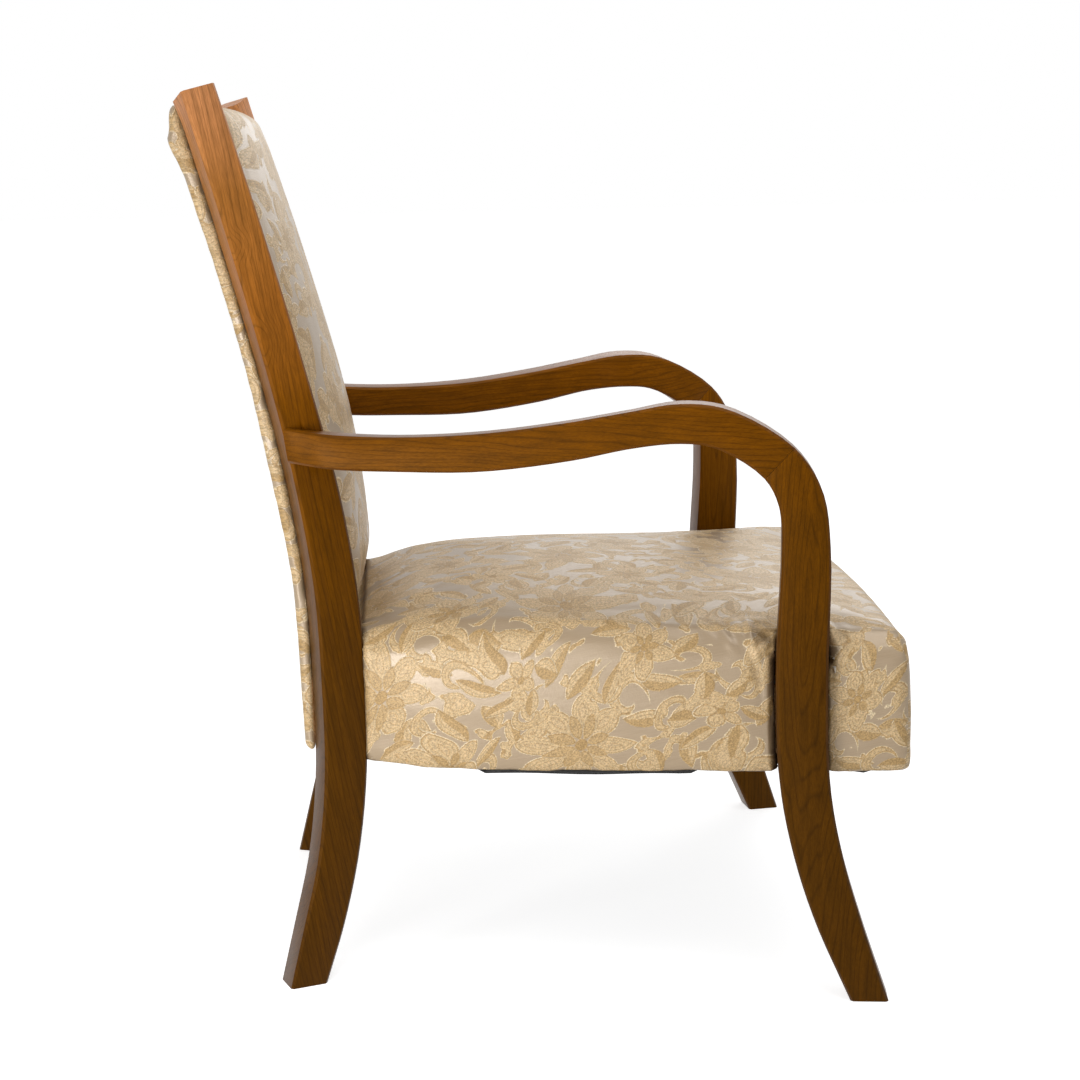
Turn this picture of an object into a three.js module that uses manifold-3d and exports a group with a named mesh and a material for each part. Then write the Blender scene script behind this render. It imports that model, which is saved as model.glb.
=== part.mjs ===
// An open-arm upholstered armchair: a sabre-legged frame of solid wood, a sprung seat and a
// padded back. Millimetres, +Z up, and the sitter faces -Y. The origin is the middle of the
// footprint, on the floor.
import * as THREE from 'three';
import { mergeVertices } from 'three/addons/utils/BufferGeometryUtils.js';
import Module from 'manifold-3d';

const wasm = await Module();
wasm.setup();

const degree = Math.PI / 180;

// Fits and edges
const clearance = 0.3; // gap between two pieces that touch
const overrun = 30; // how far a cutter passes through what it cuts
const easedEdge = 2.5; // rounding of the wood's long edges

// Front leg and armrest: one flat-sided limb on each side, spreading towards the front
const frontHeelHalfWidth = 328; // middle of the chair to the outside of a front heel
const limbYaw = 8.4 * degree; // how far the limbs spread in plan
const limbSplay = 2 * degree; // how far the front feet stand out below the arms
const armTipInset = 2; // how far ahead of the rear heel the arm's tip ends
const armCrestHeight = 578;
const armRearThickness = 31;
const armMidThickness = 36;
const armCrestThickness = 46;
const kneeThickness = 40;
const frontLegThickness = 36;

// Rear leg and back post: one sabre-shaped piece on each side, turned inwards in plan
const rearHeelInset = 92.5; // how much nearer the middle the rear heels stand than the front ones
const rearHeelSetback = 540; // front heel to rear heel
const postYaw = -20.3 * degree;
const postLean = 0.76 * degree; // how far the posts lean in towards the top
const postSweepDepth = 90; // how far the leg bows forward of its heel
const postHeight = 880;
const postThickness = 33;
const postTopFall = 9; // how much lower the inner edge of a post's top is than its outer edge

// Seat upholstery
const seatFrontInset = 12; // outside of a front heel to the front corner of the seat
const seatRearInset = 37.5; // outside of a rear heel to the rear corner of the seat
const seatNose = 61; // front heel to the front corner of the seat
const seatBow = 12; // how far the middle of the front stands ahead of its corners
const seatRearEdgeInset = 43; // back of the seat, between the posts, to the rear heel
const seatUnderside = 224;
const seatEdgeHeight = 372;
const seatCrown = 21;
const seatEdgeRadius = 40;
const seatFrontEdgeRun = 15; // how far back the top edge rounds over along the front
const seatCornerRadius = 12;
const seatFrontFall = 9; // how far the top drops from its middle to its front
const seatFrontFallFoot = 58; // front heel back to the end of the drop
const seatFrontFallRun = 260; // the distance over which it drops
const seatRearFall = 16; // how far the top drops where it tucks in under the back
const seatTuckInset = 83; // where the back pad comes down behind the seat, to the rear heel
const seatTuckGap = 5; // how far below the back pad the seat stops, behind the tuck line
const hessianSlope = 28; // how far in from the rails the hessian reaches its full height
const coverThickness = 2;
const liningThickness = 1.5;

// Seat frame and springing
const railThickness = 24;
const railHeight = 68;
const railBottom = 235;
const frontRailSetback = -50; // front heel to the front face of the front rail
const rearRailInset = 56; // front face of the rear rail to the rear heel
const frontPadThickness = 12.1; // seat's side to the rail, where the front leg crosses it
const rearPadThickness = 7.5; // seat's side to the rail, where it meets the post
const tenonLength = 14;
const tenonInset = 10;
const cornerBlockLength = 52;
const cornerBlockHeight = 44;
const strapWidth = 50;
const strapThickness = 1.6;
const springHeight = 106;
const springEndRadius = 38;
const springWaistRadius = 25;
const springWire = 4;
const springTurns = 4.5;
const springPitch = 100; // least distance between two columns of springs

// Back frame and padding
const stileThickness = 20;
const stileDepth = 22;
const stileSetIn = 9; // how far the stiles stand ahead of the posts' rear edges
const stileTail = 3; // how far the stiles reach below the pad
const stileTopInset = 27; // how far the stiles stop below the top of the pad
const backRailHeight = 42;
const backRailDepth = 20;
const backTopRailInset = 51; // top of the pad to the middle of the top rail
const backLowRailInset = 28; // bottom of the pad to the middle of the low rail
const backPadBottom = 346;
const backPadTopInset = 18; // how far the posts stand above the pad
const backCrown = 30; // how far the pad stands ahead of the posts in the middle
const backEdgeProud = 4; // how far it stands ahead of them at its sides
const backEdgeRadius = 14;
const outsideBackBottom = 228;
const outsideBackProud = 10; // how far the outside back stands behind the posts
const outsideBackRoll = 9; // extra thickness of the roll near its top
const outsideBackRollInset = 26; // top of the pad to the middle of the roll
const outsideBackRollSpan = 11; // how far above its height the roll fades
const outsideBackRollTail = 68; // how far below it
const outsideBackSwell = 4; // extra thickness of the wadding below the middle

// Fasteners
const dowelDiameter = 8;
const dowelLength = 40;
const railDowelDiameter = 10;
const railDowelLength = 44;
const screwDiameter = 5;
const screwHeadDiameter = 10;
const screwHeadHeight = 3;
const armScrewDrop = 37; // how far below the crest of the arm its screw lies
const armScrewBite = 11; // how far the screw runs into the arm
const stileScrewHeight = 610;
const stileScrewBite = 20; // how far the screw runs into the post
const boltDiameter = 7;
const boltHeadDiameter = 14;
const boltHeadHeight = 4;
const boltBite = 25; // how far a leg bolt runs into the leg
const fastenerSpacing = 32;

// Worked out from the sizes above
const rearHeelHalfWidth = frontHeelHalfWidth - rearHeelInset;
const seatFrontHalfWidth = frontHeelHalfWidth - seatFrontInset;
const seatRearHalfWidth = rearHeelHalfWidth - seatRearInset;
const seatTuckHeight = backPadBottom - seatTuckGap;
const seatRearEdge = rearHeelSetback - seatRearEdgeInset; // these are all behind the front heel
const seatTuckLine = rearHeelSetback - seatTuckInset;
const rearRailSetback = rearHeelSetback - rearRailInset;
const armReach = rearHeelSetback - armTipInset;
const armScrewHeight = armCrestHeight - armScrewDrop;
const backPadTop = postHeight - backPadTopInset;
const backTopRailHeight = backPadTop - backTopRailInset;
const backLowRailHeight = backPadBottom + backLowRailInset;
const stileBottom = backPadBottom - stileTail;
const stileTop = backPadTop - stileTopInset;

// Outlines of the limb, from the arm's tip over the knee to the foot, in shares of the arm's
// reach and of its crest height. Each knot of one line is paired with the same knot of the other.
const limbTopShares = [
  [-1, 0.967], [-0.92, 0.956], [-0.799, 0.95], [-0.651, 0.954], [-0.502, 0.97],
  [-0.39, 0.987], [-0.297, 1], [-0.214, 0.99], [-0.1, 0.927], [-0.052, 0.858],
  [-0.037, 0.761], [-0.041, 0.554], [-0.037, 0.372], [-0.015, 0.251], [0.02, 0.135], [0.068, 0],
];
const limbUnderShares = [
  [-0.991, 0.908], [-0.911, 0.898], [-0.799, 0.893], [-0.647, 0.892], [-0.487, 0.909],
  [-0.381, 0.928], [-0.297, 0.935], [-0.236, 0.927], [-0.152, 0.877], [-0.126, 0.827],
  [-0.122, 0.761], [-0.132, 0.554], [-0.126, 0.372], [-0.102, 0.251], [-0.063, 0.135], [0, 0],
];
const limbKneeKnot = 8;
// The middle of the front leg at the rails, in shares of the arm's reach
const legMiddleShare = 0.0836;
const legMiddleSetback = armReach * legMiddleShare;
// How the outside face of the arm wraps in to the post, in shares of the arm's rear thickness
const limbWrapShares = [-0.24, 0.08, 0.02, 0, 0, 0, 0, 0, 0, 0, 0, 0, 0, 0, 0, 0];

// Outlines of the rear leg and post from the floor up, in shares of its sweep and height
const postRearShares = [
  [0, 0], [0.18, 0.068], [0.38, 0.148], [0.49, 0.239], [0.5, 0.341],
  [0.456, 0.455], [0.3, 0.568], [0.067, 0.682], [-0.328, 0.841], [-0.735, 0.991],
];
const postFrontShares = [
  [0.422, 0], [0.656, 0.068], [0.856, 0.148], [0.978, 0.239], [1, 0.341],
  [0.944, 0.455], [0.772, 0.568], [0.5, 0.682], [0.078, 0.841], [-0.378, 1],
];

// The seat's sides from the bottom up: how far in they are, in shares of the edge's radius, at
// shares of their height. Then where the rings of the crown lie, from its edge to its middle.
const seatSideShares = [[0.1, 0], [0, 0.12], [-0.06, 0.5], [0, 1]];
const seatCrownShares = [0.78, 0.55, 0.3, 0.06];

// Where the dowels cross the knee joint, in shares of its length
const kneeDowelShares = [0.3, 0.7];

// Where the rows of springs stand, in shares of the space inside the rails, the space beside the
// outer columns, in shares of a column, and where the back's straps cross, in shares of the
// height of the stiles
const springRowShares = [0.19, 0.5, 0.81];
const springMarginShare = 1 / 3;
const backStrapShares = [0.3, 0.5, 0.7];
// How the back's crown swells and fades from its bottom to its top
const backCrownShares = [0.1, 0.78, 0.9, 1.03, 1.07, 1.03, 1, 0.95, 0.9];
// How the pad's front rounds over at its top and bottom: the distance in from the end, in shares
// of the edge's radius, and how far the front is drawn back there
const backEndShares = [[0, 0.75], [0.25, 0.4], [0.6, 0.12]];
const backCrownPower = 2.6; // the higher, the flatter the middle of the pad and the rounder its sides
const outsideBackSwellPower = 0.7; // the lower, the lower the thickest part of the wadding lies

// Counts
const pinSides = 16;
const halvings = 24;
const edgeSteps = 3;
const armSteps = 36; // sections along the arm
const legSteps = 32;
const postSteps = 38;
const mergeReach = clearance / 100;

const material = (color, roughness, metalness = 0) =>
  new THREE.MeshStandardMaterial({ color, roughness, metalness });
const finish = {
  wood: () => material('#7a4a1e', 0.4),
  hiddenWood: () => material('#b89468', 0.75),
  brocade: () => material('#c6b08a', 0.6),
  wadding: () => material('#e6e0d2', 0.95),
  webbing: () => material('#9c7f55', 0.9),
  lining: () => material('#1d1b1a', 0.9),
  steel: () => material('#8d8f92', 0.35, 1),
};

const chair = new THREE.Group();
chair.name = 'fauteuil';

// Small helpers for meshes and solids

function add(name, geometry, finishName) {
  const mesh = new THREE.Mesh(geometry, finish[finishName]());
  mesh.name = name;
  chair.add(mesh);
}

function signedVolume(points, index) {
  let total = 0;
  const normal = new THREE.Vector3();
  for (let i = 0; i < index.length; i += 3) {
    normal.crossVectors(points[index[i + 1]], points[index[i + 2]]);
    total += points[index[i]].dot(normal);
  }
  return total;
}

function geometryOf(points, index) {
  const facing = signedVolume(points, index) > 0 ? index : index.toReversed();
  const geometry = new THREE.BufferGeometry();
  geometry.setAttribute('position',
    new THREE.Float32BufferAttribute(points.flatMap((p) => [p.x, p.y, p.z]), 3));
  geometry.setIndex(facing);
  return geometry;
}

// A closed skin over rings of points that have the same count, with a fan at either end
function loft(rings) {
  const count = rings[0].length;
  const points = rings.flat();
  const index = [];
  for (let ring = 0; ring + 1 < rings.length; ring += 1) {
    for (let i = 0; i < count; i += 1) {
      const a = ring * count + i;
      const b = ring * count + (i + 1) % count;
      index.push(a, b, b + count, a, b + count, a + count);
    }
  }
  for (const last of [false, true]) {
    const ring = last ? rings.length - 1 : 0;
    const middle = points.length;
    points.push(rings[ring].reduce((sum, p) => sum.add(p), new THREE.Vector3()).divideScalar(count));
    for (let i = 0; i < count; i += 1) {
      const a = ring * count + i;
      const b = ring * count + (i + 1) % count;
      index.push(middle, last ? a : b, last ? b : a);
    }
  }
  return geometryOf(points, index);
}

function bareOf(geometry) {
  const bare = geometry.clone();
  bare.deleteAttribute('normal');
  bare.deleteAttribute('uv');
  return mergeVertices(bare, mergeReach);
}

function solidOf(geometry) {
  const merged = bareOf(geometry);
  return new wasm.Manifold(new wasm.Mesh({
    numProp: 3,
    vertProperties: new Float32Array(merged.attributes.position.array),
    triVerts: new Uint32Array(merged.index.array),
  }));
}

function meshOf(solid) {
  const mesh = solid.getMesh();
  const geometry = new THREE.BufferGeometry();
  geometry.setAttribute('position', new THREE.BufferAttribute(mesh.vertProperties, 3));
  geometry.setIndex(new THREE.BufferAttribute(mesh.triVerts, 1));
  return geometry;
}

// What is left of a piece after its cuts, without the offcuts
function cut(geometry, ...cutters) {
  let solid = solidOf(geometry);
  for (const cutter of cutters) solid = solid.subtract(solidOf(cutter));
  const pieces = solid.decompose();
  return meshOf(pieces.reduce((best, piece) => (piece.volume() > best.volume() ? piece : best)));
}

const join = (first, second) => meshOf(solidOf(first).add(solidOf(second)));

function mirrored(geometry) {
  const copy = geometry.clone().applyMatrix4(new THREE.Matrix4().makeScale(-1, 1, 1));
  copy.setIndex([...copy.index.array].reverse());
  return copy;
}

// The same shape on both sides, made for the sitter's left and mirrored for the right
function addPair(name, geometry, finishName) {
  add(`${name}_left`, geometry, finishName);
  add(`${name}_right`, mirrored(geometry), finishName);
}

// A box between two corners, placed by a frame
function boxBetween(low, high, frame = new THREE.Matrix4()) {
  const size = high.clone().sub(low);
  const middle = high.clone().add(low).divideScalar(2);
  return new THREE.BoxGeometry(size.x, size.y, size.z)
    .translate(middle.x, middle.y, middle.z).applyMatrix4(frame);
}

// The frame of a flat-sided piece: x runs forward in it, y outwards from its outer face, z up
function faceFrame(halfWidth, setback, yaw, lean) {
  const forward = new THREE.Vector3(Math.sin(yaw), -Math.cos(yaw), 0);
  const level = new THREE.Vector3(Math.cos(yaw), Math.sin(yaw), 0);
  const outward = level.multiplyScalar(Math.cos(lean)).setZ(Math.sin(lean));
  const upward = forward.clone().cross(outward);
  return new THREE.Matrix4().makeBasis(forward, outward, upward).setPosition(halfWidth, setback, 0);
}

const limbFrame = faceFrame(frontHeelHalfWidth, 0, limbYaw, limbSplay);
const postFrame = faceFrame(rearHeelHalfWidth, rearHeelSetback, postYaw, postLean);

function lineOf(shares, run, rise) {
  const knots = shares.map(([x, z]) => new THREE.Vector3(x * run, 0, z * rise));
  return new THREE.CatmullRomCurve3(knots, false, 'centripetal');
}

const limbTop = lineOf(limbTopShares, armReach, armCrestHeight);
const limbUnder = lineOf(limbUnderShares, armReach, armCrestHeight);
const postRear = lineOf(postRearShares, postSweepDepth, postHeight);
const postFront = lineOf(postFrontShares, postSweepDepth, postHeight);
const kneeShare = limbKneeKnot / (limbTopShares.length - 1);

// A value that runs smoothly through knots spaced evenly from 0 to 1
function through(values) {
  const curve = new THREE.CatmullRomCurve3(values.map((v) => new THREE.Vector3(v, 0, 0)));
  return (share) => curve.getPoint(share).x;
}

const limbOuter = through(limbWrapShares.map((share) => share * armRearThickness));
const limbInner = through([
  armRearThickness, armRearThickness, armRearThickness, armMidThickness, armMidThickness,
  armMidThickness, armCrestThickness, armCrestThickness, kneeThickness, frontLegThickness,
  frontLegThickness, frontLegThickness, frontLegThickness, frontLegThickness,
  frontLegThickness, frontLegThickness,
].map((thickness) => -thickness));

// One cross-section with eased edges, between a point on either outline
function barRing(a, b, outer, inner, edge) {
  const across = b.clone().sub(a).normalize().multiplyScalar(edge);
  const rows = [
    [a.clone().add(across), outer], [b.clone().sub(across), outer],
    [b, outer - edge], [b, inner + edge],
    [b.clone().sub(across), inner], [a.clone().add(across), inner],
    [a, inner + edge], [a, outer - edge],
  ];
  return rows.map(([p, y]) => new THREE.Vector3(p.x, y, p.z));
}

// A flat-sided bar between two outlines. grow swells it into a cutter that runs out past its
// outer face, startGap and endGap pull its ends back for a joint, and endFall lowers the inner
// edge of its end.
function bar(spec) {
  const { rear, front, outer, inner, frame, steps } = spec;
  const { from = 0, to = 1, grow = 0, growOut = grow, startGap = 0, endGap = 0, endFall = 0 } = spec;
  const rings = [];
  for (let step = 0; step <= steps; step += 1) {
    const t = from + (to - from) * step / steps;
    const a = rear.getPoint(t);
    const b = front.getPoint(t);
    const swell = b.clone().sub(a).normalize().multiplyScalar(grow);
    rings.push(barRing(a.sub(swell), b.add(swell), outer(t) + growOut, inner(t) - grow, easedEdge));
  }
  pullEnd(rings[0], rings[1], startGap);
  pullEnd(rings[steps], rings[steps - 1], endGap);
  for (const point of rings[steps]) point.z -= endFall * point.y / inner(to);
  return loft(rings).applyMatrix4(frame);
}

function pullEnd(ring, neighbour, gap) {
  const step = neighbour[0].clone().sub(ring[0]).normalize().multiplyScalar(gap);
  step.y = 0;
  for (const point of ring) point.add(step);
}

const constant = (value) => () => value;
const postShape = { rear: postRear, front: postFront, outer: constant(0),
  inner: constant(-postThickness), frame: postFrame, steps: postSteps, endFall: postTopFall };
const limbShape = { rear: limbUnder, front: limbTop, outer: limbOuter, inner: limbInner,
  frame: limbFrame };

// The height of a point on an outline is found by halving, since the outlines only rise
function pointAtHeight(line, height) {
  let low = 0;
  let high = 1;
  for (let halving = 0; halving < halvings; halving += 1) {
    const middle = (low + high) / 2;
    if (line.getPoint(middle).z < height) low = middle;
    else high = middle;
  }
  return line.getPoint((low + high) / 2);
}

// A point on the inner face of the left post, at a height, ahead of one of its edges
function innerPost(line, height, ahead = 0, inset = 0) {
  const point = pointAtHeight(line, height);
  return new THREE.Vector3(point.x + ahead, -postThickness - inset, point.z).applyMatrix4(postFrame);
}

// A round pin from one point towards another, with an optional head at the start
function pin(start, direction, length, diameter, head = null) {
  const radius = diameter / 2;
  const profile = head
    ? [[0, 0], [head.diameter / 2, 0], [head.diameter / 2, head.height], [radius, head.height],
      [radius, length], [0, length]]
    : [[0, 0], [radius, 0], [radius, length], [0, length]];
  const lathe = new THREE.LatheGeometry(profile.map(([x, y]) => new THREE.Vector2(x, y)), pinSides);
  const turn = new THREE.Quaternion()
    .setFromUnitVectors(new THREE.Vector3(0, 1, 0), direction.clone().normalize());
  return bareOf(lathe).applyQuaternion(turn).translate(start.x, start.y, start.z);
}

const directionIn = (frame, x, y, z) => new THREE.Vector3(x, y, z).transformDirection(frame);
const pointIn = (frame, x, y, z) => new THREE.Vector3(x, y, z).applyMatrix4(frame);

// A hole for a pin is the same pin, grown by the clearance
function pinAndHole(start, direction, length, diameter, head = null) {
  const unit = direction.clone().normalize();
  const grownHead = head
    && { diameter: head.diameter + 2 * clearance, height: head.height + clearance };
  const back = start.clone().addScaledVector(unit, -clearance);
  return {
    solid: pin(start, unit, length, diameter, head),
    hole: pin(back, unit, length + 2 * clearance, diameter + 2 * clearance, grownHead),
  };
}

// Dowels across the knee joint between the arm and the leg
function kneeDowels() {
  const top = limbTop.getPoint(kneeShare);
  const under = limbUnder.getPoint(kneeShare);
  const along = top.clone().sub(under);
  const across = new THREE.Vector3(along.z, 0, -along.x).normalize();
  return kneeDowelShares.map((share) => {
    const middle = under.clone().addScaledVector(along, share);
    const start = middle.addScaledVector(across, -dowelLength / 2);
    return pinAndHole(pointIn(limbFrame, start.x, -kneeThickness / 2, start.z),
      directionIn(limbFrame, across.x, 0, across.z), dowelLength, dowelDiameter);
  });
}

// A screw from the inner face of the post into the end of the arm
function armScrew() {
  const rearEdge = pointAtHeight(postRear, armScrewHeight);
  const frontEdge = pointAtHeight(postFront, armScrewHeight);
  const middle = (rearEdge.x + frontEdge.x) / 2;
  const head = { diameter: screwHeadDiameter, height: screwHeadHeight };
  return pinAndHole(pointIn(postFrame, middle, -postThickness, armScrewHeight),
    directionIn(postFrame, 0, 1, 0), postThickness + armScrewBite, screwDiameter, head);
}

// Seat rails. The side rails run from the front rail to the posts.

const railTop = railBottom + railHeight;
const frontRailBack = frontRailSetback + railThickness;

// Half the width of the seat at a distance behind the front heel
function seatSide(setback) {
  const share = (setback + seatNose) / (seatRearEdge + seatNose);
  return seatFrontHalfWidth + share * (seatRearHalfWidth - seatFrontHalfWidth);
}

const sideRailFrontHalfWidth = seatSide(legMiddleSetback) - frontPadThickness;
const sideRailRearHalfWidth = seatSide(seatTuckLine) - rearPadThickness;

// Half the width to the outer faces of the side rails, at a distance behind the front heel
function railHalfWidth(setback) {
  const share = (setback - legMiddleSetback) / (seatTuckLine - legMiddleSetback);
  return sideRailFrontHalfWidth + share * (sideRailRearHalfWidth - sideRailFrontHalfWidth);
}

const railSlope = railHalfWidth(0) - railHalfWidth(1);
const railAcross = railThickness * Math.hypot(1, railSlope); // thickness measured along X

function prism(corners, bottom, top) {
  const ring = (z) => corners.map(([x, y]) => new THREE.Vector3(x, y, z));
  return loft([ring(bottom), ring(top)]);
}

function sideRailBlank(grow = 0) {
  const start = frontRailBack + clearance;
  const end = rearRailSetback;
  const corner = (setback, inset) => [railHalfWidth(setback) - inset, setback];
  return prism([corner(start, -grow), corner(end, -grow), corner(end, railAcross + grow),
    corner(start, railAcross + grow)], railBottom - grow, railTop + grow);
}

const postCutter = bar({ ...postShape, grow: clearance });
const postClear = bar({ ...postShape, grow: clearance, growOut: overrun });
const legClear = bar({
  ...limbShape, from: kneeShare, steps: legSteps, grow: clearance, growOut: overrun,
});

const railMiddle = railBottom + railHeight / 2;
const railFastenerHeights = [railMiddle - fastenerSpacing / 2, railMiddle + fastenerSpacing / 2];

// Bolts from inside the side rail into the front leg
function legBolts() {
  return railFastenerHeights.map((height) => {
    const outward = new THREE.Vector3(1, railSlope, 0).normalize();
    const inner = railHalfWidth(legMiddleSetback) - railAcross - boltHeadHeight;
    const start = new THREE.Vector3(inner, legMiddleSetback, height);
    const head = { diameter: boltHeadDiameter, height: boltHeadHeight - clearance };
    return pinAndHole(start, outward, boltHeadHeight + railThickness + boltBite, boltDiameter, head);
  });
}

// Dowels along the side rail into the post
function railDowels() {
  return railFastenerHeights.map((height) => {
    const end = railHalfWidth(seatTuckLine) - railAcross / 2;
    const along = new THREE.Vector3(-railSlope, 1, 0).normalize();
    const middle = new THREE.Vector3(end, seatTuckLine, height);
    const start = middle.addScaledVector(along, -railDowelLength / 2);
    return pinAndHole(start, along, railDowelLength, railDowelDiameter);
  });
}

// The rear rail ends in a tenon in each post
function rearRail(grow = 0) {
  const back = rearRailSetback + railThickness;
  const face = innerPost(postRear, railMiddle);
  const shoulder = boxBetween(new THREE.Vector3(-face.x - overrun, rearRailSetback, railBottom),
    new THREE.Vector3(face.x + overrun, back, railTop));
  const tenonEnd = innerPost(postFront, railMiddle).x + tenonLength;
  const side = tenonInset / 2;
  const low = new THREE.Vector3(-tenonEnd, rearRailSetback + side, railBottom + tenonInset);
  const high = new THREE.Vector3(tenonEnd, back - side, railTop - tenonInset);
  const tenon = boxBetween(low.subScalar(grow), high.addScalar(grow));
  return { shoulder, tenon };
}

function frontRail() {
  const half = railHalfWidth(frontRailSetback) - railThickness / 2;
  return boxBetween(new THREE.Vector3(-half, frontRailSetback, railBottom),
    new THREE.Vector3(half, frontRailBack, railTop));
}

// Three-cornered glue blocks inside the seat frame
function cornerBlock(setback, direction) {
  const inner = (y) => railHalfWidth(y) - railAcross - clearance;
  const near = setback + direction * clearance;
  const far = near + direction * cornerBlockLength;
  return prism([[inner(near), near], [inner(far), far], [inner(near) - cornerBlockLength, near]],
    railBottom, railBottom + cornerBlockHeight);
}

// The seat's outer form: rings up the sides, a rounded edge and a crown

// Plan outline of half the seat, from the middle of its front round to the middle of its back
function seatPlan() {
  const points = [];
  const frontSteps = 7;
  const arcSteps = 4;
  const sideSteps = 8;
  const flat = seatFrontHalfWidth - seatCornerRadius;
  for (let i = 0; i < frontSteps; i += 1) {
    const x = flat * i / (frontSteps - 1);
    points.push([x, -seatNose - seatBow * (1 - (x / flat) ** 2)]);
  }
  for (let i = 1; i <= arcSteps; i += 1) {
    const angle = 90 * degree * i / arcSteps;
    const y = -seatNose + seatCornerRadius * (1 - Math.cos(angle));
    points.push([flat + seatCornerRadius * Math.sin(angle) + seatSide(y) - seatFrontHalfWidth, y]);
  }
  const sideStart = seatCornerRadius - seatNose;
  for (let i = 1; i <= sideSteps; i += 1) {
    const y = sideStart + (seatRearEdge - sideStart) * i / sideSteps;
    points.push([seatSide(y), y]);
  }
  points.push([seatRearHalfWidth / 2, seatRearEdge]);
  return points;
}

const seatHalfPlan = seatPlan();
const seatLoop = [
  ...seatHalfPlan,
  [0, seatRearEdge],
  ...seatHalfPlan.slice(1).toReversed().map(([x, y]) => [-x, y]),
];
const seatMiddle = (seatRearEdge - seatNose) / 2;

// The top sinks a little towards the back, where the back pad comes down, and towards the front
function topFall(setback) {
  const { smoothstep } = THREE.MathUtils;
  const rear = smoothstep(setback, seatTuckLine - 2 * seatEdgeRadius, seatTuckLine);
  const front = 1 - smoothstep(setback, seatFrontFallFoot, seatFrontFallFoot + seatFrontFallRun);
  return seatRearFall * rear + seatFrontFall * front;
}

// One level of the seat. Up to the edge's radius an inset runs in from the edge, and less so along
// the front. Past that the ring shrinks towards the middle of the seat.
function seatRing(inset, height) {
  const half = seatFrontHalfWidth;
  const depth = (seatRearEdge + seatNose) / 2;
  const edge = Math.min(inset, seatEdgeRadius);
  const shrink = 1 - (inset - edge) / (half - seatEdgeRadius);
  return seatLoop.map(([x, y]) => {
    const run = y < seatMiddle ? edge * seatFrontEdgeRun / seatEdgeRadius : edge;
    const py = seatMiddle + (y - seatMiddle) * (1 - run / depth) * shrink;
    const fall = height > seatTuckHeight ? topFall(py) : 0;
    return new THREE.Vector3(x * (1 - edge / half) * shrink, py, height - fall);
  });
}

function seatForm(shrink, bottom) {
  const shoulder = seatEdgeHeight - seatEdgeRadius;
  const height = shoulder - seatUnderside;
  const rings = seatSideShares.map(([inset, share]) => (
    seatRing(inset * seatEdgeRadius + shrink, seatUnderside + share * height)));
  if (bottom < seatUnderside) {
    rings.unshift(seatRing(seatSideShares[0][0] * seatEdgeRadius + shrink, bottom));
  }
  const radius = seatEdgeRadius - shrink;
  for (let i = 1; i <= edgeSteps; i += 1) {
    const turn = 90 * degree * i / edgeSteps;
    rings.push(seatRing(seatEdgeRadius - radius * Math.cos(turn), shoulder + radius * Math.sin(turn)));
  }
  const inner = seatFrontHalfWidth - seatEdgeRadius;
  for (const share of seatCrownShares) {
    const crown = seatCrown * (1 - share ** 2);
    rings.push(seatRing(seatFrontHalfWidth - inner * share, seatEdgeHeight - shrink + crown));
  }
  return loft(rings);
}

const seatTop = seatEdgeHeight + seatCrown;
const seatBackSpace = boxBetween(
  new THREE.Vector3(-seatFrontHalfWidth, seatTuckLine, seatTuckHeight),
  new THREE.Vector3(seatFrontHalfWidth, seatRearEdge + overrun, seatTop + overrun));
const seatTail = boxBetween(
  new THREE.Vector3(-seatFrontHalfWidth, rearRailSetback - clearance, seatUnderside - overrun),
  new THREE.Vector3(seatFrontHalfWidth, seatRearEdge + overrun, seatTop));
const seatNotches = [legClear, mirrored(legClear), postClear, mirrored(postClear)];

// A four-cornered ring that follows the rails, at a distance inside their outer faces
function railRing(inset, height) {
  const front = frontRailSetback + inset;
  const back = rearRailSetback + railThickness - inset;
  const halfAt = (setback) => railHalfWidth(setback) - inset;
  return [[halfAt(front), front], [halfAt(back), back], [-halfAt(back), back], [-halfAt(front), front]]
    .map(([x, y]) => new THREE.Vector3(x, y, height));
}

const springSeat = railBottom - clearance; // the springs stand on the webbing
const springTop = springSeat + springHeight;

// The hessian over the springs: a low flat-topped tent, tacked to the tops of the rails
function hessianForm(grow, bottom) {
  const foot = railThickness / 2 - grow;
  const brow = railAcross + hessianSlope - grow;
  const base = railTop + clearance;
  const top = springTop + clearance + grow;
  const rings = [railRing(foot, base + grow), railRing(brow, top)];
  if (bottom < base) rings.unshift(railRing(foot, bottom));
  return loft(rings);
}

function seatHessian() {
  const outer = hessianForm(liningThickness, railTop + clearance);
  return cut(outer, hessianForm(0, railTop - overrun), ...seatNotches);
}

function seatPadding() {
  const skin = coverThickness + clearance;
  const frameSpace = prism(railRing(-clearance, 0).map((p) => [p.x, p.y]),
    seatUnderside - overrun, railTop + clearance);
  return cut(seatForm(skin, seatUnderside), frameSpace,
    hessianForm(liningThickness + clearance, railTop - overrun), seatBackSpace, ...seatNotches);
}

function seatCover() {
  return cut(seatForm(0, seatUnderside), seatForm(coverThickness, seatUnderside - overrun),
    seatBackSpace, seatTail, ...seatNotches);
}

// The black lining under the seat
function dustCover() {
  const top = seatUnderside - clearance;
  const inset = seatEdgeRadius / 8;
  const lining = loft([seatRing(inset, top - liningThickness), seatRing(inset, top)]);
  return cut(lining, ...seatNotches);
}

// Coil springs, waisted in the middle

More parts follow.
